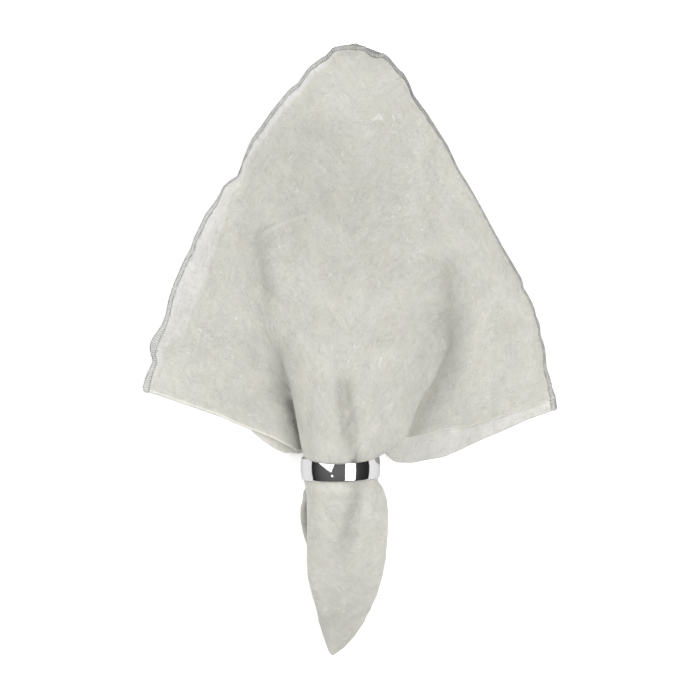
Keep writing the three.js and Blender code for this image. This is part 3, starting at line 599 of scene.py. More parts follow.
def flat_places(P, over_left, over_right):
    """Where each point of a layer lies on the flat napkin, in mm from its middle."""
    out = np.empty(P.shape[:2] + (2,))
    for i in range(P.shape[0]):
        s = run_length(P[i])
        left = s[:MID + 1] / max(s[MID], 1e-9)
        right = (s[MID:] - s[MID]) / max(s[-1] - s[MID], 1e-9)
        c = np.array([d_crown[i], d_crown[i]]) / math.sqrt(2)
        l, r = np.array([d_left[i], over_left]), np.array([over_right, d_right[i]])
        out[i, :MID + 1] = l + (c - l) * left[:, None]
        out[i, MID:] = c + (r - c) * right[:, None]
    return out


flat = {"full": flat_places(middle, 0, 0), "upper": flat_places(upper, 0, 0)}
part_of = np.zeros(COLS, int)           # 0 panel, 1 pleat, 2 behind, 3 wing
edges = np.cumsum([0] + list(RUNS.values()))
for c in range(COLS):
    part_of[c] = min(np.searchsorted(edges, abs(c - MID), side="left") - 1, 3) if c != MID else 0
on_panel = (part_of == 0).astype(float)
on_wing = smoothstep(edges[2] - 12, edges[2] + 4, np.abs(np.arange(COLS) - MID))
panel_weight = 1 - smoothstep(edges[1] - 3, edges[1] + 3, np.abs(np.arange(COLS) - MID))


def relief(P, F):
    """Height of the crumple, creases and flanks over the smooth middle surface."""
    tau = ROWS[:, None]
    free = 1 - 0.75 * np.exp(-((tau + 58.5) / 9.0) ** 2)        # held in the band
    free = free * smoothstep(-155, -135, tau)
    h = crumple(F[..., 0], F[..., 1]) * free
    column = np.abs(np.arange(P.shape[1]) - MID)
    spread = smoothstep(-8, 14, tau)
    whole = panel_weight[None] + ((1 - smoothstep(edges[1], edges[2] + 8, column))[None] - panel_weight[None]) * spread
    for part, a, b, c, height, half in CREASES:
        w = whole if part == "panel" else on_wing[None]
        h = h + height * trough(P[..., 0], P[..., 1], a, b, c, half) * w
    for a, b, c, height, half, reach in FLANKS:
        h = h + height * flank(P[..., 0], P[..., 1], a, b, c, half, reach) * smoothstep(-4, 8, tau)
    lift = np.where(P[..., 2] < 4.5, smoothstep(2.0, 4.5, P[..., 2]) * 0.8 + 0.2, 1.0)
    return np.where(h < 0, h * lift, h)


raised = {"full": relief(middle, flat["full"]), "upper": relief(upper, flat["upper"])}

# ---- the four layers -------------------------------------------------------------------------
tau = ROWS
in_band = np.exp(-(np.maximum(np.abs(tau + 58.5) - 9.0, 0) / 6.0) ** 2)
pitch = PITCH + (PITCH_RING - PITCH) * in_band
pitch = 0.35 + (pitch - 0.35) * smoothstep(-156, -138, tau)
LEVELS = np.array([-1.5, -0.5, 0.5, 1.5])
STRIDE = [3, 3, 3, 1]
FOLD_TURNS = {   # where the points round a fold lie, as shares of its half turn
    "outer": np.array([0.08, 0.17, 0.26, 0.34, 0.42, 0.49, 0.545, 0.58, 0.605, 0.635, 0.67, 0.70, 0.73, 0.76,
                       0.80, 0.85, 0.90, 0.95]),
    "inner": np.arange(1, 6) / 6,
}


def layer(k):
    P = middle if k < 2 else upper
    F = flat["full" if k < 2 else "upper"]
    height = raised["full" if k < 2 else "upper"]
    n, side, run = normals(P)
    high = smoothstep(4.0, 12.0, P[..., 2])
    stack = 1.5 * pitch[:, None]
    rest = -(STACK - stack) + LIE                 # the stack lies on the table
    taut = STACK - stack - 0.25                   # or keeps its top where it was
    shift = rest + (taut - rest) * high
    # each layer has a little life of its own
    own = 0.16 * value_noise(F[..., 0] / 21 + 11 * k, F[..., 1] / 21 - 5 * k, 40 + k)
    own = own * smoothstep(-150, -120, tau)[:, None] * (1 - in_band[:, None])
    if k == 0:
        own = np.maximum(own, 0) * 0.5
    out = P + n * (shift + LEVELS[k] * pitch[:, None] + own + height)[..., None]
    if k > 1:
        from_fold = np.linalg.norm(P - P[:, -1:], axis=2)
        out[..., 2] -= 1.15 * smoothstep(14, 2, from_fold) * smoothstep(-44, -30, ROWS)[:, None]
    out[..., 2] = np.maximum(out[..., 2], 0.12 + 0.3 * k)
    if k == 3:
        cx, cz = out[..., 0] - BAND["x"], out[..., 2] - BAND["outer"]
        radius = np.maximum(np.hypot(cx, cz), 1e-6)
        round_it = np.interp(np.degrees(np.arctan2(cx, cz)), *zip(*ROLL_ROUND)) * panel_weight[None]
        roll_t, roll_y, roll_r = zip(*ROLL)
        dy = monotone(roll_t, roll_y, np.clip(ROWS, roll_t[0], roll_t[-1]))[:, None] * round_it
        dr = monotone(roll_t, roll_r, np.clip(ROWS, roll_t[0], roll_t[-1]))[:, None] * round_it
        out[..., 1] += dy
        out[..., 0] += dr * cx / radius
        out[..., 2] += dr * cz / radius
    return out, F, n, side


layers = [layer(k) for k in range(4)]


def fold(a, b, end, kind):
    """Points round the fold that joins layers a and b at one end, a first."""
    Pa, Pb = layers[a][0][:, end], layers[b][0][:, end]
    side = layers[a][3][:, end] * (-1 if end == 0 else 1)
    centre, arm = (Pa + Pb) / 2, (Pa - Pb) / 2
    r = np.linalg.norm(arm, axis=1, keepdims=True)
    out = []
    for share in FOLD_TURNS[kind]:
        ang = math.pi * share
        q = centre + arm * math.cos(ang) + side * r * math.sin(ang)
        if kind == "outer":
            t = ang if a == 3 else math.pi - ang
            leaf = float(smoothstep(0.60 * math.pi, 0.72 * math.pi, t) * smoothstep(math.pi, 0.86 * math.pi, t))
            crease = math.exp(-((t / math.pi - 0.57) / 0.06) ** 2)
            amount = np.interp(ROWS, *zip(*WEDGE))
            q = q + side * (amount * leaf - 2.2 * crease * smoothstep(0, 2, amount))[:, None]
        out.append(q)
    return np.stack(out, 1)


SIGNS = {0: (1, -1), 1: (-1, -1), 2: (-1, 1), 3: (1, 1)}
pieces, places, owner, h_of = [], [], [], []


def hem_place(F):
    """Distance along the hem from the corner, at the last row."""
    a, b = F[-1, :, 0], F[-1, :, 1]
    return np.where(np.arange(len(a)) <= MID, b - HALF, HALF - a)


def add_layer(k, reverse):
    P, F, _, _ = layers[k]
    cols = np.arange(0, COLS, STRIDE[k])
    if reverse:
        cols = cols[::-1]
    rim = 1.5 * PITCH * math.pi / 2 if k in (0, 3) else 0.5 * PITCH * math.pi / 2
    rim_r = 0.5 * PITCH * math.pi / 2
    G = F[:, cols].copy()
    G[..., 1] = rim + G[..., 1] * (HALF - rim) / HALF
    G[..., 0] = rim_r + G[..., 0] * (HALF - rim_r) / HALF
    sx, sy = SIGNS[k]
    pieces.append(P[:, cols]); places.append(G * np.array([sx, sy]))
    owner.append(np.full(len(cols), float(k))); h_of.append(hem_place(F)[cols])


def add_fold(a, b, end, kind):
    q = fold(a, b, end, kind)
    n = q.shape[1]
    pieces.append(q); places.append(None)
    owner.append(a + (b - a) * FOLD_TURNS[kind])
    h_of.append(np.full(n, -HALF if end == 0 else HALF))


add_layer(0, False); add_fold(0, 1, COLS - 1, "inner")
add_layer(1, True); add_fold(1, 2, 0, "inner")
add_layer(2, False); add_fold(2, 3, COLS - 1, "inner")
add_layer(3, True); add_fold(3, 0, 0, "outer")
for i, place in enumerate(places):          # the folds' flat places lie between their layers'
    if place is None:
        before, after = places[i - 1][:, -1], places[(i + 1) % len(places)][:, 0]
        t = FOLD_TURNS["outer" if i == len(places) - 1 else "inner"][None, :, None]
        places[i] = before[:, None] * (1 - t) + after[:, None] * t
cloth = np.concatenate(pieces, 1)
place = np.concatenate(places, 1)
owner = np.concatenate(owner)
h_of = np.concatenate(h_of)
LOOP = cloth.shape[1]

# each layer's hem ends a little short of the outline
knots = np.array(HEM_H, float)
by_layer = np.stack([monotone(knots, np.array(row), h_of) for row in HEM_INSET], 1)
low, high = np.floor(owner).astype(int) % 4, np.ceil(owner).astype(int) % 4
wrapped = owner.copy()
inset = by_layer[np.arange(LOOP), low] * (1 - (owner - np.floor(owner))) + by_layer[np.arange(LOOP), high] * (owner - np.floor(owner))
last_fold = np.arange(LOOP) >= LOOP - len(FOLD_TURNS["outer"])   # from the top layer back to the lowest
t = (3 - owner[last_fold]) / 3
inset[last_fold] = by_layer[last_fold, 3] * (1 - t) + by_layer[last_fold, 0] * t
wave = 0.45 * value_noise(h_of / 13 + 9 * low, owner * 0 + 2.5, 77) + 0.25 * value_noise(h_of / 6 + 5 * low, owner * 0 + 4.5, 78)
inset = np.maximum(inset + wave, -0.4)
start = int(np.searchsorted(ROWS, 60.0))
tail = cloth[start:]
reach = 12.0
onward = tail[-1] - tail[-4]
onward /= np.linalg.norm(onward, axis=1, keepdims=True)
tail = np.concatenate([tail, (tail[-1] + onward * reach)[None]])     # room to grow
length = np.concatenate([np.zeros((1, LOOP)), np.cumsum(np.linalg.norm(np.diff(tail, axis=0), axis=2), 0)])
seen = EYE / (EYE - cloth[-1][:, 2:3])
outset = np.clip(filled(meet(cloth[-1][:, :2] * seen, onward[:, :2], OUTLINE)), -9, 9)
total = length[-2]
want = length[:-1] * (total + outset - inset) / total
for j in range(LOOP):
    for c in range(3):
        cloth[start:, j, c] = np.interp(want[:, j], length[:, j], tail[:, j, c])

# the tail of the cloth, below the band, fitted to its two sides
main = np.concatenate([np.isin(part_of[np.arange(0, COLS, STRIDE[k])][::(1 if k in (0, 2) else -1)], (0, 1))
                       if k is not None else np.zeros(p.shape[1], bool)
                       for p, k in zip(pieces, (0, None, 1, None, 2, None, 3, None))])
fit = smoothstep(-64.5, -70.0, ROWS)
cloth[..., 1] -= TIP_DROP * smoothstep(-132, -154, ROWS)[:, None]
tail_y, tail_l, tail_r = (np.array(v) for v in zip(*TAIL[::-1]))
scale, slide = np.ones(len(ROWS)), np.zeros(len(ROWS))
for i in np.where(fit > 0)[0]:
    seen = EYE / (EYE - cloth[i][:, 2])
    x, y = cloth[i][:, 0] * seen, cloth[i][:, 1] * seen
    at_l, at_r = np.where(main)[0][x[main].argmin()], np.where(main)[0][x[main].argmax()]
    left, right = np.interp(y[at_l], tail_y, tail_l), np.interp(y[at_r], tail_y, tail_r)
    scale[i] = (right - left) / max(x[at_r] - x[at_l], 0.4)
    slide[i] = left - x[at_l] * scale[i]
seen = EYE / (EYE - cloth[..., 2])
moved = (cloth[..., 0] * seen * scale[:, None] + slide[:, None]) / seen
cloth[..., 0] += (moved - cloth[..., 0]) * fit[:, None]

# ---- how many layers lie on one another, for the sheerness --------------------------------------
depth = np.zeros((len(ROWS), LOOP))
depth[start:] = (total + outset - inset)[None] - want
depth[:start] = 99.0
others = np.zeros_like(depth)
mine = np.clip(np.round(owner).astype(int), 0, 3)
for m in range(4):
    cover = smoothstep(-0.6, 0.6, depth + (inset - by_layer[:, m])[None])
    others += np.where(mine[None] == m, 0, cover)
sheer = (1 - others / 3) * (1 - smoothstep(30, 56, h_of))[None]
# on the right the lower pair runs on beyond the upper pair's fold
beyond = np.zeros_like(sheer)
painted_light_below_fold = np.zeros_like(sheer)      # painted light just below that fold, where its shadow falls
offset = 0
for i, (P, k) in enumerate(zip(pieces, (0, None, 1, None, 2, None, 3, None))):
    n = P.shape[1]
    if k == 1:
        gap = EDGE_AT[1][:, 3][:, None]
        from_edge = np.linalg.norm(cloth[:, offset:offset + n] - cloth[:, offset:offset + 1], axis=2)
        beyond[:, offset:offset + n] = smoothstep(0.6, -0.6, from_edge - gap) * (gap > 0.5)
        painted_light_below_fold[:, offset:offset + n] = np.exp(-((from_edge - gap) / 0.9) ** 2) * (gap > 0.5)
    offset += n
sheer = np.maximum(sheer, beyond * 0.6)

# Painted light and shade, with some plain tone, for the cloth's colour: first painted light on the lower pair just
# under the right fold's edge
patch = 0.12 * painted_light_below_fold
# the broad patches of painted light and shade
for x, y, rx, ry, amount in PAINTED_LIGHT_AND_SHADE:
    patch += amount * np.exp(-((cloth[..., 0] - x) / rx) ** 2 - ((cloth[..., 1] - y) / ry) ** 2)

top_only = (owner == 3.0)[None]
# painted shade along the valleys and grooves, and a painted highlight on one crease, on the top layer only
for ceiling, a, b, c, amount, half in PAINTED_LIGHT_AND_SHADE_LINES:
    w = top_only * smoothstep(ceiling + 3.5, ceiling - 2.5, cloth[..., 2])
    patch += amount * w * trough(cloth[..., 0], cloth[..., 1], a, b, c, half)
patch -= 0.10 * np.exp(-(depth / 3.2) ** 2) * smoothstep(34, 60, h_of)[None] * smoothstep(222, 205, h_of)[None]
# painted shade in the crease between the two leaves of the left fold, with a painted highlight above it and painted
# light on the shaded lower leaf
turn = FOLD_TURNS["outer"]
leaves = smoothstep(0, 2, np.interp(ROWS, *zip(*WEDGE)))[:, None]
patch[:, last_fold] += leaves * (0.14 * np.exp(-((turn - 0.36) / 0.14) ** 2) - 0.34 * np.exp(-((turn - 0.605) / 0.025) ** 2)
                                 + 0.34 * smoothstep(0.635, 0.70, turn) * smoothstep(0.90, 0.80, turn))
# painted highlight on the edge of the upper pair's fold on the right, and painted light on the top layer beside it
painted_highlight_fold = (owner > 2.0) & (owner < 3.0)
patch[:, painted_highlight_fold] += 0.45 * smoothstep(-48, -34, ROWS)[:, None]
from_fold = np.linalg.norm(cloth - cloth[:, np.where(painted_highlight_fold)[0][-1]][:, None], axis=2)
patch += 0.05 * (owner == 3.0)[None] * smoothstep(4.0, 0.5, from_fold) * smoothstep(-48, -34, ROWS)[:, None]

# ---- the mesh -------------------------------------------------------------------------------------
def to_metres(points):
    return (np.asarray(points) + ORIGIN) / 1000.0


def make_mesh(name, verts, faces, uv=None, attributes=None):
    mesh = bpy.data.meshes.new(name)
    mesh.from_pydata(verts.tolist(), [], faces)
    mesh.update()
    mesh.validate()
    loops = np.empty(len(mesh.loops), np.int32)
    mesh.loops.foreach_get("vertex_index", loops)
    if uv is not None:
        layer = mesh.uv_layers.new(name="flat")
        layer.data.foreach_set("uv", uv[loops].astype(np.float32).ravel())
    for key, values in (attributes or {}).items():
        a = mesh.attributes.new(key, "FLOAT", "POINT")
        a.data.foreach_set("value", np.asarray(values, np.float32))
    mesh.shade_smooth()
    obj = bpy.data.objects.new(name, mesh)
    bpy.context.scene.collection.objects.link(obj)
    return obj


rows = len(ROWS)
verts = to_metres(cloth.reshape(-1, 3))
tip = to_metres(cloth[0].mean(0) + np.array([-0.1, -0.8, 0]))[None]
verts = np.concatenate([verts, tip])
faces = []
for i in range(rows - 1):
    a = i * LOOP
    b = a + LOOP
    for j in range(LOOP):
        k = (j + 1) % LOOP
        faces.append((a + j, b + j, b + k, a + k))
faces.extend((rows * LOOP, j, (j + 1) % LOOP) for j in range(LOOP))
uv = place.reshape(-1, 2) / SIDE + 0.5
uv = np.concatenate([uv, [[0.5, 0.5]]])
# the cloth carries its sheerness and its painted light and shade as point attributes
napkin = make_mesh("napkin_cloth", verts, faces, uv,
                   {"sheer": np.concatenate([sheer.ravel(), [0]]), "patch": np.concatenate([patch.ravel(), [0]])})

# ---- the stitched hems --------------------------------------------------------------------------------
def resampled(line, step):
    s = run_length(np.concatenate([line, line[:1]]))
    closed = np.concatenate([line, line[:1]])
    n = int(round(s[-1] / step))
    q = np.linspace(0, s[-1], n, endpoint=False)
    return q, s, lambda values: np.stack([np.interp(q, s, np.concatenate([values, values[:1]])[:, c]) for c in range(values.shape[1])], 1)


edge_line = cloth[-1]
inward = np.empty_like(edge_line)
for j in range(LOOP):
    back = cloth[::-1, j][:12]
    s = run_length(back)
    inward[j] = [np.interp(HEM["width"], s, back[:, c]) for c in range(3)]
q, s, take = resampled(edge_line, HEM["stitch"] / 8)
E, I = take(edge_line), take(inward)
D = I - E
D /= np.linalg.norm(D, axis=1, keepdims=True)
T = np.roll(E, -1, 0) - np.roll(E, 1, 0)
T /= np.maximum(np.linalg.norm(T, axis=1, keepdims=True), 1e-9)
N = np.cross(T, D)
N /= np.maximum(np.linalg.norm(N, axis=1, keepdims=True), 1e-9)
turns = int(round(s[-1] / HEM["stitch"]))
phase = 2 * math.pi * turns * q / s[-1]
uneven = 1 + 0.14 * value_noise(q / 1.9, q * 0, 91)
h_at = take(np.stack([h_of, owner], 1))
rolled = np.interp(h_at[:, 0], *zip(*ROLLED))
rolled = np.where(np.abs(h_at[:, 1] - 3) < 0.6, rolled, 1.0)
rolled = np.convolve(np.concatenate([rolled[-12:], rolled, rolled[:12]]), np.ones(25) / 25, "valid")


def tube(centre, radius, sides, closed=True):
    """Points and faces of a round thread along a line."""
    T = (np.roll(centre, -1, 0) - np.roll(centre, 1, 0)) if closed else np.gradient(centre, axis=0)
    T /= np.maximum(np.linalg.norm(T, axis=1, keepdims=True), 1e-9)
    up = np.array([0.13, 0.21, 0.97])
    A = np.cross(T, up); A /= np.maximum(np.linalg.norm(A, axis=1, keepdims=True), 1e-6)
    B = np.cross(A, T)
    ring = []
    for n in range(sides):
        ang = 2 * math.pi * n / sides
        ring.append(centre + (A * math.cos(ang) + B * math.sin(ang)) * radius)
    P = np.stack(ring, 1)
    n = len(centre)
    faces = []
    for i in range(n if closed else n - 1):
        a, b = i * sides, ((i + 1) % n) * sides
        for k in range(sides):
            faces.append((a + k, a + (k + 1) % sides, b + (k + 1) % sides, b + k))
    if not closed:
        faces.append(tuple(range(sides - 1, -1, -1)))
        faces.append(tuple((n - 1) * sides + k for k in range(sides)))
    return P.reshape(-1, 3), faces


across = (HEM["width"] * rolled * (0.5 + 0.5 * np.cos(phase)) * uneven - 0.12)[:, None]
over = (HEM["height"] * np.sin(phase))[:, None]
stitch_line = E + D * across + N * over
parts = [tube(stitch_line, HEM["thread"], 4)]
q2, s2, take2 = resampled(edge_line, 1.1)
E2 = take2(edge_line)
parts.append(tube(E2, HEM["edge"], 6))
upward = N * np.where(N[:, 2:3] < 0, -1.0, 1.0)
sunk = 0.55 + 0.75 * value_noise(q / 2.3, q * 0 + 3, 92)     # here and there the line sinks into the stitches
needle = (E + D * (HEM["width"] * rolled * 0.92 + 0.12 * value_noise(q / 1.4, q * 0 + 7, 93))[:, None]
          + upward * (HEM["height"] * sunk)[:, None])[::6]
parts.append(tube(needle, HEM["needle"], 4))
all_verts, all_faces, all_lines, all_near, base = [], [], [], [], 0
near_corner = smoothstep(-34, -14, h_at[:, 0]) * smoothstep(70, 36, h_at[:, 0])
for P, F in parts:
    P[:, 2] = np.maximum(P[:, 2], 0.05)
    all_lines.append(np.full(len(P), 0.0 if base == 0 else 1.0))
    share = np.linspace(0, 1, len(P), endpoint=False)
    all_near.append(np.interp(share, np.linspace(0, 1, len(q), endpoint=False), near_corner))
    all_verts.append(P)
    all_faces.extend(tuple(v + base for v in f) for f in F)
    base += len(P)
hem = make_mesh("hem_stitching", to_metres(np.concatenate(all_verts)), all_faces,
                attributes={"line": np.concatenate(all_lines), "corner": np.concatenate(all_near)})

# ---- the band ---------------------------------------------------------------------------------------------
def band_profile():
    R, w, h = BAND["outer"], BAND["wall"], BAND["height"] / 2
    c, e, soft = BAND["crown"], BAND["edge"], BAND["soft"]      # soft: the rounding's height along the band
    pts = [(R - c * t * t, t * (h - soft)) for t in np.linspace(-1, 1, 17)]
    outer, inner = R - c, R - c - w + 0.12
    for r0, sign, start, rise in ((outer - e, 1, 0, soft), (inner + e, 1, 90, 0.4), (inner + e, -1, 180, 0.4), (outer - e, -1, 270, soft)):
        for a in np.linspace(start, start + 90, 7)[1:]:
            if start == 270 and a == 360:
                break
            r = math.radians(a)
            pts.append((r0 + e * math.cos(r), sign * (h - rise) + rise * math.sin(r)))
    return pts


profile = band_profile()
SIDES = 240
verts, faces = [], []
yaw = math.radians(BAND["yaw"])
for i in range(SIDES):
    ang = 2 * math.pi * i / SIDES
    for r, y in profile:
        x, z = r * math.sin(ang), r * math.cos(ang)
        verts.append((BAND["x"] + x * math.cos(yaw) - y * math.sin(yaw),
                      BAND["y"] + x * math.sin(yaw) + y * math.cos(yaw), BAND["outer"] + z))
n = len(profile)
for i in range(SIDES):
    a, b = i * n, ((i + 1) % SIDES) * n
    for k in range(n):
        m = (k + 1) % n
        faces.append((a + k, a + m, b + m, b + k))
band = make_mesh("ring_band", to_metres(np.array(verts)), faces)

# ---- materials -----------------------------------------------------------------------------------------------
class Nodes:
    """Short hand for building a node tree."""

    def __init__(self, name):
        self.mat = bpy.data.materials.new(name)
        self.mat.use_nodes = True
        self.tree = self.mat.node_tree
        self.tree.nodes.clear()
        self.out = self.new("ShaderNodeOutputMaterial")
        self.bsdf = self.new("ShaderNodeBsdfPrincipled")
        self.link(self.bsdf.outputs["BSDF"], self.out.inputs["Surface"])

    def new(self, kind, **props):
        node = self.tree.nodes.new(kind)
        for key, value in props.items():
            setattr(node, key, value)
        return node

    def link(self, a, b):
        self.tree.links.new(a, b)

    def feed(self, socket, value):
        if isinstance(value, bpy.types.NodeSocket):
            self.link(value, socket)
        else:
            socket.default_value = value

    def math(self, op, a, b=None, c=None, clamp=False):
        node = self.new("ShaderNodeMath", operation=op, use_clamp=clamp)
        for i, v in enumerate((a, b, c)):
            if v is not None:
                self.feed(node.inputs[i], v)
        return node.outputs[0]

    def noise(self, vector, scale=1.0, detail=2.0, rough=0.5, distortion=0.0):
        node = self.new("ShaderNodeTexNoise")
        self.feed(node.inputs["Vector"], vector)
        node.inputs["Scale"].default_value = scale
        node.inputs["Detail"].default_value = detail
        node.inputs["Roughness"].default_value = rough
        node.inputs["Distortion"].default_value = distortion
        return node.outputs["Fac"]

    def place(self, x, y, z=0.0):
        node = self.new("ShaderNodeCombineXYZ")
        for s, v in zip(node.inputs, (x, y, z)):
            self.feed(s, v)
        return node.outputs[0]

    def ramp(self, value, low, high, to_low=0.0, to_high=1.0, smooth=True):
        node = self.new("ShaderNodeMapRange", interpolation_type="SMOOTHSTEP" if smooth else "LINEAR")
        self.feed(node.inputs["Value"], value)
        node.inputs["From Min"].default_value = low
        node.inputs["From Max"].default_value = high
        node.inputs["To Min"].default_value = to_low
        node.inputs["To Max"].default_value = to_high
        return node.outputs["Result"]

    def mix(self, factor, a, b, blend="MIX"):
        node = self.new("ShaderNodeMix", data_type="RGBA", blend_type=blend)
        self.feed(node.inputs[0], factor)
        for socket, v in ((node.inputs[6], a), (node.inputs[7], b)):
            self.feed(socket, v if isinstance(v, bpy.types.NodeSocket) else (*v, 1.0))
        return node.outputs[2]


LINEN_WARM = (0.576, 0.566, 0.508)
LINEN_COOL = (0.567, 0.561, 0.520)
LINEN_ROSE = (0.583, 0.565, 0.519)
LINEN_SLUB = (0.680, 0.674, 0.632)
LINEN_PALE = (0.692, 0.687, 0.670)     # one layer alone over something pale
SHEER = 0.85


def linen():
    m = Nodes("linen")
    uvs = m.new("ShaderNodeUVMap", uv_map="flat")
    split = m.new("ShaderNodeSeparateXYZ")
    m.link(uvs.outputs[0], split.inputs[0])
    a = m.math("MULTIPLY", split.outputs[0], SIDE)     # millimetres on the flat napkin
    b = m.math("MULTIPLY", split.outputs[1], SIDE)
    thread = 0.62
    # threads wander a little, so that the weave never looks ruled
    wander_a = m.math("MULTIPLY", m.math("SUBTRACT", m.noise(m.place(m.math("MULTIPLY", b, 0.05), m.math("MULTIPLY", a, 0.4)), 1.0, 1.0), 0.5), 0.5)
    wander_b = m.math("MULTIPLY", m.math("SUBTRACT", m.noise(m.place(m.math("MULTIPLY", a, 0.05), m.math("MULTIPLY", b, 0.4), 9.0), 1.0, 1.0), 0.5), 0.5)
    wa, wb = m.math("ADD", a, wander_a), m.math("ADD", b, wander_b)
    sin_a = m.math("SINE", m.math("MULTIPLY", wa, math.pi / thread))
    sin_b = m.math("SINE", m.math("MULTIPLY", wb, math.pi / thread))
    warp, weft = m.math("ABSOLUTE", sin_a), m.math("ABSOLUTE", sin_b)
    cross = m.math("MULTIPLY", m.math("COSINE", m.math("MULTIPLY", wa, math.pi / thread)),
                   m.math("COSINE", m.math("MULTIPLY", wb, math.pi / thread)))
    over = m.math("MULTIPLY", warp, m.math("MULTIPLY_ADD", cross, 0.35, 0.65))
    under = m.math("MULTIPLY", weft, m.math("MULTIPLY_ADD", cross, -0.35, 0.65))
    weave = m.math("MAXIMUM", over, under)
    # every thread has its own thickness and tone along its run
    along_a = m.noise(m.place(m.math("MULTIPLY", wa, 1.1), m.math("MULTIPLY", b, 0.17)), 1.0, 3.0, 0.62, 0.3)
    along_b = m.noise(m.place(m.math("MULTIPLY", a, 0.17), m.math("MULTIPLY", wb, 1.1), 4.0), 1.0, 3.0, 0.62, 0.3)
    fine = m.math("ADD", along_a, along_b)                  # about 0.6 to 1.4
    # bundles of thicker yarn, several threads wide
    wide_a = m.noise(m.place(m.math("MULTIPLY", a, 0.42), m.math("MULTIPLY", b, 0.045), 21.0), 1.0, 2.0, 0.5, 0.3)
    wide_b = m.noise(m.place(m.math("MULTIPLY", a, 0.045), m.math("MULTIPLY", b, 0.42), 25.0), 1.0, 2.0, 0.5, 0.3)
    wide = m.math("ADD", wide_a, wide_b)
    # slubs: short thick places in single threads, bent a little
    bend = m.noise(m.place(m.math("MULTIPLY", a, 0.20), m.math("MULTIPLY", b, 0.20), 31.0), 1.0, 2.0, 0.5)
    bent = m.math("MULTIPLY_ADD", bend, 9.0, -4.5)
    sa, sb = m.math("ADD", a, bent), m.math("SUBTRACT", b, bent)
    slub_a = m.ramp(m.noise(m.place(m.math("MULTIPLY", sa, 0.50), m.math("MULTIPLY", b, 0.12), 2.0), 1.0, 1.0, 0.5, 0.2), 0.67, 0.725)
    slub_b = m.ramp(m.noise(m.place(m.math("MULTIPLY", a, 0.12), m.math("MULTIPLY", sb, 0.50), 6.0), 1.0, 1.0, 0.5, 0.2), 0.67, 0.725)
    slub = m.math("MAXIMUM", slub_a, slub_b)
    gap_a = m.ramp(m.noise(m.place(m.math("MULTIPLY", sa, 0.7), m.math("MULTIPLY", b, 0.20), 52.0), 1.0, 1.0, 0.5), 0.34, 0.26)
    gap_b = m.ramp(m.noise(m.place(m.math("MULTIPLY", a, 0.20), m.math("MULTIPLY", sb, 0.7), 56.0), 1.0, 1.0, 0.5), 0.34, 0.26)
    gap = m.math("MAXIMUM", gap_a, gap_b)
    # cloudy patches, from a hand's breadth down to a few threads
    cloud = m.noise(m.place(m.math("MULTIPLY", a, 0.055), m.math("MULTIPLY", b, 0.055)), 1.0, 6.0, 0.72, 0.8)
    fleck = m.noise(m.place(m.math("MULTIPLY", a, 0.42), m.math("MULTIPLY", b, 0.42), 41.0), 1.0, 3.0, 0.6, 0.9)
    tint = m.noise(m.place(m.math("MULTIPLY", a, 0.06), m.math("MULTIPLY", b, 0.06), 12.0), 1.0, 4.0, 0.65)
    warm = m.noise(m.place(m.math("MULTIPLY", a, 0.09), m.math("MULTIPLY", b, 0.09), 17.0), 1.0, 3.0, 0.6)
    base = m.mix(m.ramp(tint, 0.36, 0.64), LINEN_WARM, LINEN_COOL)
    base = m.mix(m.ramp(warm, 0.56, 0.70, 0.0, 0.7), base, LINEN_ROSE)
    sheer_at = m.new("ShaderNodeAttribute", attribute_name="sheer").outputs["Fac"]
    painted_light_shade_and_tone_at = m.new("ShaderNodeAttribute", attribute_name="patch").outputs["Fac"]
    base = m.mix(m.math("MULTIPLY", sheer_at, SHEER), base, LINEN_PALE)
    base = m.mix(m.math("MULTIPLY", slub, 0.74), base, LINEN_SLUB)
    tone = m.math("MULTIPLY_ADD", cloud, 0.42, 0.79)
    tone = m.math("MULTIPLY_ADD", m.math("SUBTRACT", fleck, 0.5), 0.27, tone)
    tone = m.math("MULTIPLY_ADD", m.math("SUBTRACT", fine, 1.0), 0.10, tone)
    tone = m.math("MULTIPLY_ADD", m.math("SUBTRACT", wide, 1.0), 0.09, tone)
    tone = m.math("MULTIPLY_ADD", gap, -0.08, tone)
    tone = m.math("MULTIPLY_ADD", m.math("SUBTRACT", weave, 0.62), 0.06, tone)
    # painted light and shade from the mesh, with some plain tone, added to the linen's tone
    tone = m.math("ADD", tone, painted_light_shade_and_tone_at)
    shade = m.new("ShaderNodeVectorMath", operation="SCALE")
    m.link(base, shade.inputs[0]); m.link(tone, shade.inputs["Scale"])
    m.link(shade.outputs[0], m.bsdf.inputs["Base Color"])
    m.bsdf.inputs["Roughness"].default_value = 0.9
    m.bsdf.inputs["Specular IOR Level"].default_value = 0.25
    m.bsdf.inputs["Sheen Weight"].default_value = 0.12
    m.bsdf.inputs["Sheen Roughness"].default_value = 0.5
    # heights, in mm
    crump = m.noise(m.place(m.math("MULTIPLY", a, 0.20), m.math("MULTIPLY", b, 0.20), 3.0), 1.0, 4.0, 0.62, 1.0)
    height = m.math("MULTIPLY", weave, 0.07)
    height = m.math("MULTIPLY_ADD", slub, 0.20, height)
    height = m.math("MULTIPLY_ADD", gap, -0.06, height)
    height = m.math("MULTIPLY_ADD", fine, 0.07, height)
    height = m.math("MULTIPLY_ADD", fleck, 0.12, height)
    height = m.math("MULTIPLY_ADD", crump, 0.80, height)
    bump = m.new("ShaderNodeBump")
    bump.inputs["Distance"].default_value = 0.001
    bump.inputs["Strength"].default_value = 0.9
    m.link(height, bump.inputs["Height"])
    m.link(bump.outputs[0], m.bsdf.inputs["Normal"])
    return m.mat


THREAD_PALE = (0.54, 0.545, 0.53)      # the stitches across the hem
THREAD_DARK = (0.36, 0.365, 0.352)     # the two lines of thread along it


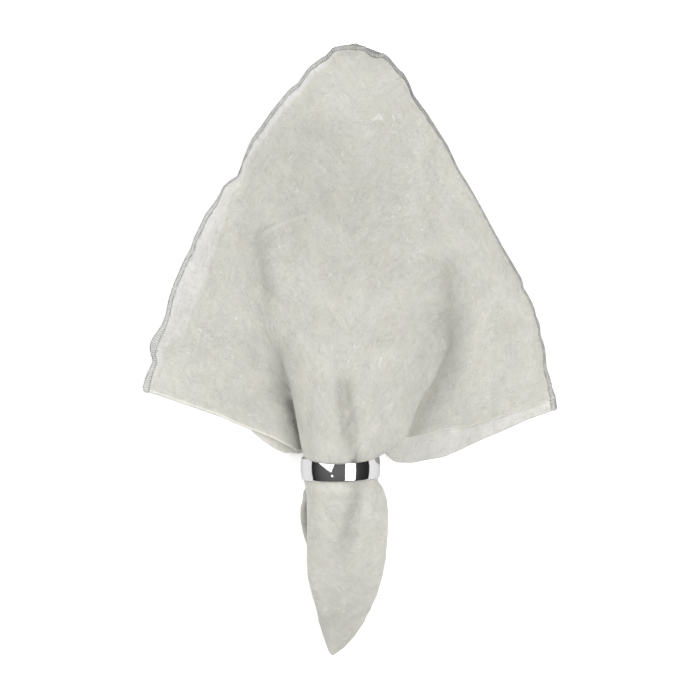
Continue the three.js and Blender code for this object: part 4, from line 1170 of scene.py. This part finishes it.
def thread_material():
    m = Nodes("hem_thread")
    where = m.new("ShaderNodeTexCoord").outputs["Object"]
    scaled = m.new("ShaderNodeVectorMath", operation="SCALE")
    m.link(where, scaled.inputs[0]); scaled.inputs["Scale"].default_value = 1000.0
    fuzz = m.noise(scaled.outputs[0], 2.4, 3.0, 0.6)
    slow = m.noise(scaled.outputs[0], 0.08, 2.0, 0.5)
    spots = m.noise(scaled.outputs[0], 0.42, 3.0, 0.6)      # worn and fresh places, a few mm long
    tone = m.math("ADD", m.math("MULTIPLY_ADD", fuzz, 0.70, 0.62), m.math("MULTIPLY_ADD", slow, 0.3, -0.15))
    shade = m.new("ShaderNodeVectorMath", operation="SCALE")
    line = m.new("ShaderNodeAttribute", attribute_name="line").outputs["Fac"]
    corner = m.new("ShaderNodeAttribute", attribute_name="corner").outputs["Fac"]
    tone = m.math("MULTIPLY", tone, m.math("MULTIPLY_ADD", corner, -0.28, 1.0))
    tone = m.math("ADD", tone, m.math("MULTIPLY_ADD", spots, 0.7, -0.35))
    line = m.math("MULTIPLY", line, m.ramp(spots, 0.62, 0.42, 0.35, 1.0))
    m.link(m.mix(line, THREAD_PALE, THREAD_DARK), shade.inputs[0])
    m.link(tone, shade.inputs["Scale"])
    m.link(shade.outputs[0], m.bsdf.inputs["Base Color"])
    m.bsdf.inputs["Roughness"].default_value = 0.75
    m.bsdf.inputs["Sheen Weight"].default_value = 0.2
    bump = m.new("ShaderNodeBump")
    bump.inputs["Distance"].default_value = 0.0001
    m.link(fuzz, bump.inputs["Height"])
    m.link(bump.outputs[0], m.bsdf.inputs["Normal"])
    return m.mat


def steel():
    m = Nodes("polished_steel")
    where = m.new("ShaderNodeTexCoord").outputs["Object"]
    scaled = m.new("ShaderNodeVectorMath", operation="SCALE")
    m.link(where, scaled.inputs[0]); scaled.inputs["Scale"].default_value = 1000.0
    wear = m.noise(scaled.outputs[0], 0.9, 4.0, 0.65)
    fine = m.noise(scaled.outputs[0], 6.0, 2.0, 0.6)
    m.link(m.ramp(wear, 0.35, 0.75, 0.035, 0.10), m.bsdf.inputs["Roughness"])
    m.link(m.mix(m.ramp(fine, 0.3, 0.7), (0.505, 0.504, 0.508), (0.535, 0.534, 0.538)), m.bsdf.inputs["Base Color"])
    m.bsdf.inputs["Metallic"].default_value = 1.0
    m.bsdf.inputs["Specular Tint"].default_value = (0.73, 0.73, 0.74, 1.0)
    bump = m.new("ShaderNodeBump")
    bump.inputs["Distance"].default_value = 0.00002
    bump.inputs["Strength"].default_value = 0.35
    m.link(wear, bump.inputs["Height"])
    m.link(bump.outputs[0], m.bsdf.inputs["Normal"])
    return m.mat


napkin.data.materials.append(linen())
hem.data.materials.append(thread_material())
band.data.materials.append(steel())

for piece in (hem, band):
    piece.data.flip_normals()      # their faces are wound inwards above
for piece in (napkin, hem, band):
    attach(piece, "root")
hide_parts("napkin")
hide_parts("ring")

# ---- floor, light and camera -----------------------------------------------------------------------------------
floor_mesh = bpy.data.meshes.new("floor")
floor_mesh.from_pydata([(-6, -6, 0), (6, -6, 0), (6, 6, 0), (-6, 6, 0)], [], [(0, 1, 2, 3)])
floor = bpy.data.objects.new("floor", floor_mesh)
floor.location.z = -0.0002
bpy.context.scene.collection.objects.link(floor)
m = Nodes("floor_white")
where = m.new("ShaderNodeTexCoord").outputs["Object"]
m.link(m.mix(m.noise(where, 3.0, 2.0), (0.93, 0.93, 0.93), (0.95, 0.95, 0.95)), m.bsdf.inputs["Base Color"])
m.bsdf.inputs["Roughness"].default_value = 0.9
m.bsdf.inputs["Specular IOR Level"].default_value = 0.1
m.bsdf.inputs["Emission Color"].default_value = (1.0, 1.0, 1.0, 1.0)
m.bsdf.inputs["Emission Strength"].default_value = 0.39
floor.data.materials.append(m.mat)


def softbox(name, angle, along_y, roll, width, length, distance, power):
    """A soft light, angle degrees from overhead in x z, tilted along y, turned about its own axis."""
    light = bpy.data.lights.new(name, "AREA")
    light.shape = "RECTANGLE"
    light.size, light.size_y = width, length
    light.energy = power
    obj = bpy.data.objects.new(name, light)
    a, b, r = math.radians(angle), math.radians(along_y), math.radians(roll)
    way = Vector((math.sin(a) * math.cos(b), math.sin(b), math.cos(a) * math.cos(b)))
    across = Vector((math.cos(a), 0.0, -math.sin(a)))
    up = way.cross(across)
    u = across * math.cos(r) + up * math.sin(r)
    v = up * math.cos(r) - across * math.sin(r)
    turn = Matrix((u, v, way)).transposed().to_4x4()
    obj.matrix_world = Matrix.Translation(way * distance) @ turn
    bpy.context.scene.collection.objects.link(obj)
    return obj


softbox("softbox_left", -40.2, 16.5, -24.5, 1.32, 1.00, 1.4, 12.3)
softbox("softbox_right", 28.7, -4, 0, 0.72, 1.70, 1.4, 18.4)
softbox("small_lamp", -24.2, -18.3, 0, 0.10, 0.070, 1.4, 0.13)

# a dim room: grey overhead, darker towards the horizon
world = bpy.data.worlds.new("studio")
world.use_nodes = True
tree = world.node_tree


def world_math(op, *values):
    node = tree.nodes.new("ShaderNodeMath")
    node.operation = op
    for socket, v in zip(node.inputs, values):
        if isinstance(v, bpy.types.NodeSocket):
            tree.links.new(v, socket)
        else:
            socket.default_value = v
    return node.outputs[0]


direction = tree.nodes.new("ShaderNodeTexCoord")
split = tree.nodes.new("ShaderNodeSeparateXYZ")
tree.links.new(direction.outputs["Generated"], split.inputs[0])
height = world_math("MAXIMUM", split.outputs[2], 0.0)
horizon = world_math("MINIMUM", world_math("MULTIPLY", height, 0.30), 0.032)
left = world_math("MAXIMUM", world_math("MULTIPLY", split.outputs[0], -1.0), 0.0)
wall = world_math("MULTIPLY", world_math("MULTIPLY", left, world_math("MULTIPLY", height, height)),
                  world_math("SUBTRACT", 1.0, height))          # a dim wall on the left
room = world_math("ADD", world_math("MULTIPLY_ADD", world_math("POWER", height, 2.8), 0.215, 0.010), horizon)
room = world_math("MULTIPLY_ADD", wall, 0.85, room)
tree.links.new(room, tree.nodes["Background"].inputs[1])
tree.nodes["Background"].inputs[0].default_value = (1.0, 1.0, 1.0, 1)
bpy.context.scene.world = world

camera = bpy.data.cameras.new("camera")
camera.lens, camera.sensor_width = 70.0, 36.0
cam = bpy.data.objects.new("camera", camera)
cam.location = (ORIGIN[0] / 1000, ORIGIN[1] / 1000, 0.700)
bpy.context.scene.collection.objects.link(cam)
bpy.context.scene.camera = cam
bpy.context.scene.view_settings.view_transform = "Standard"
bpy.context.scene.view_settings.look = "None"
bpy.context.scene.view_settings.exposure = 0.0
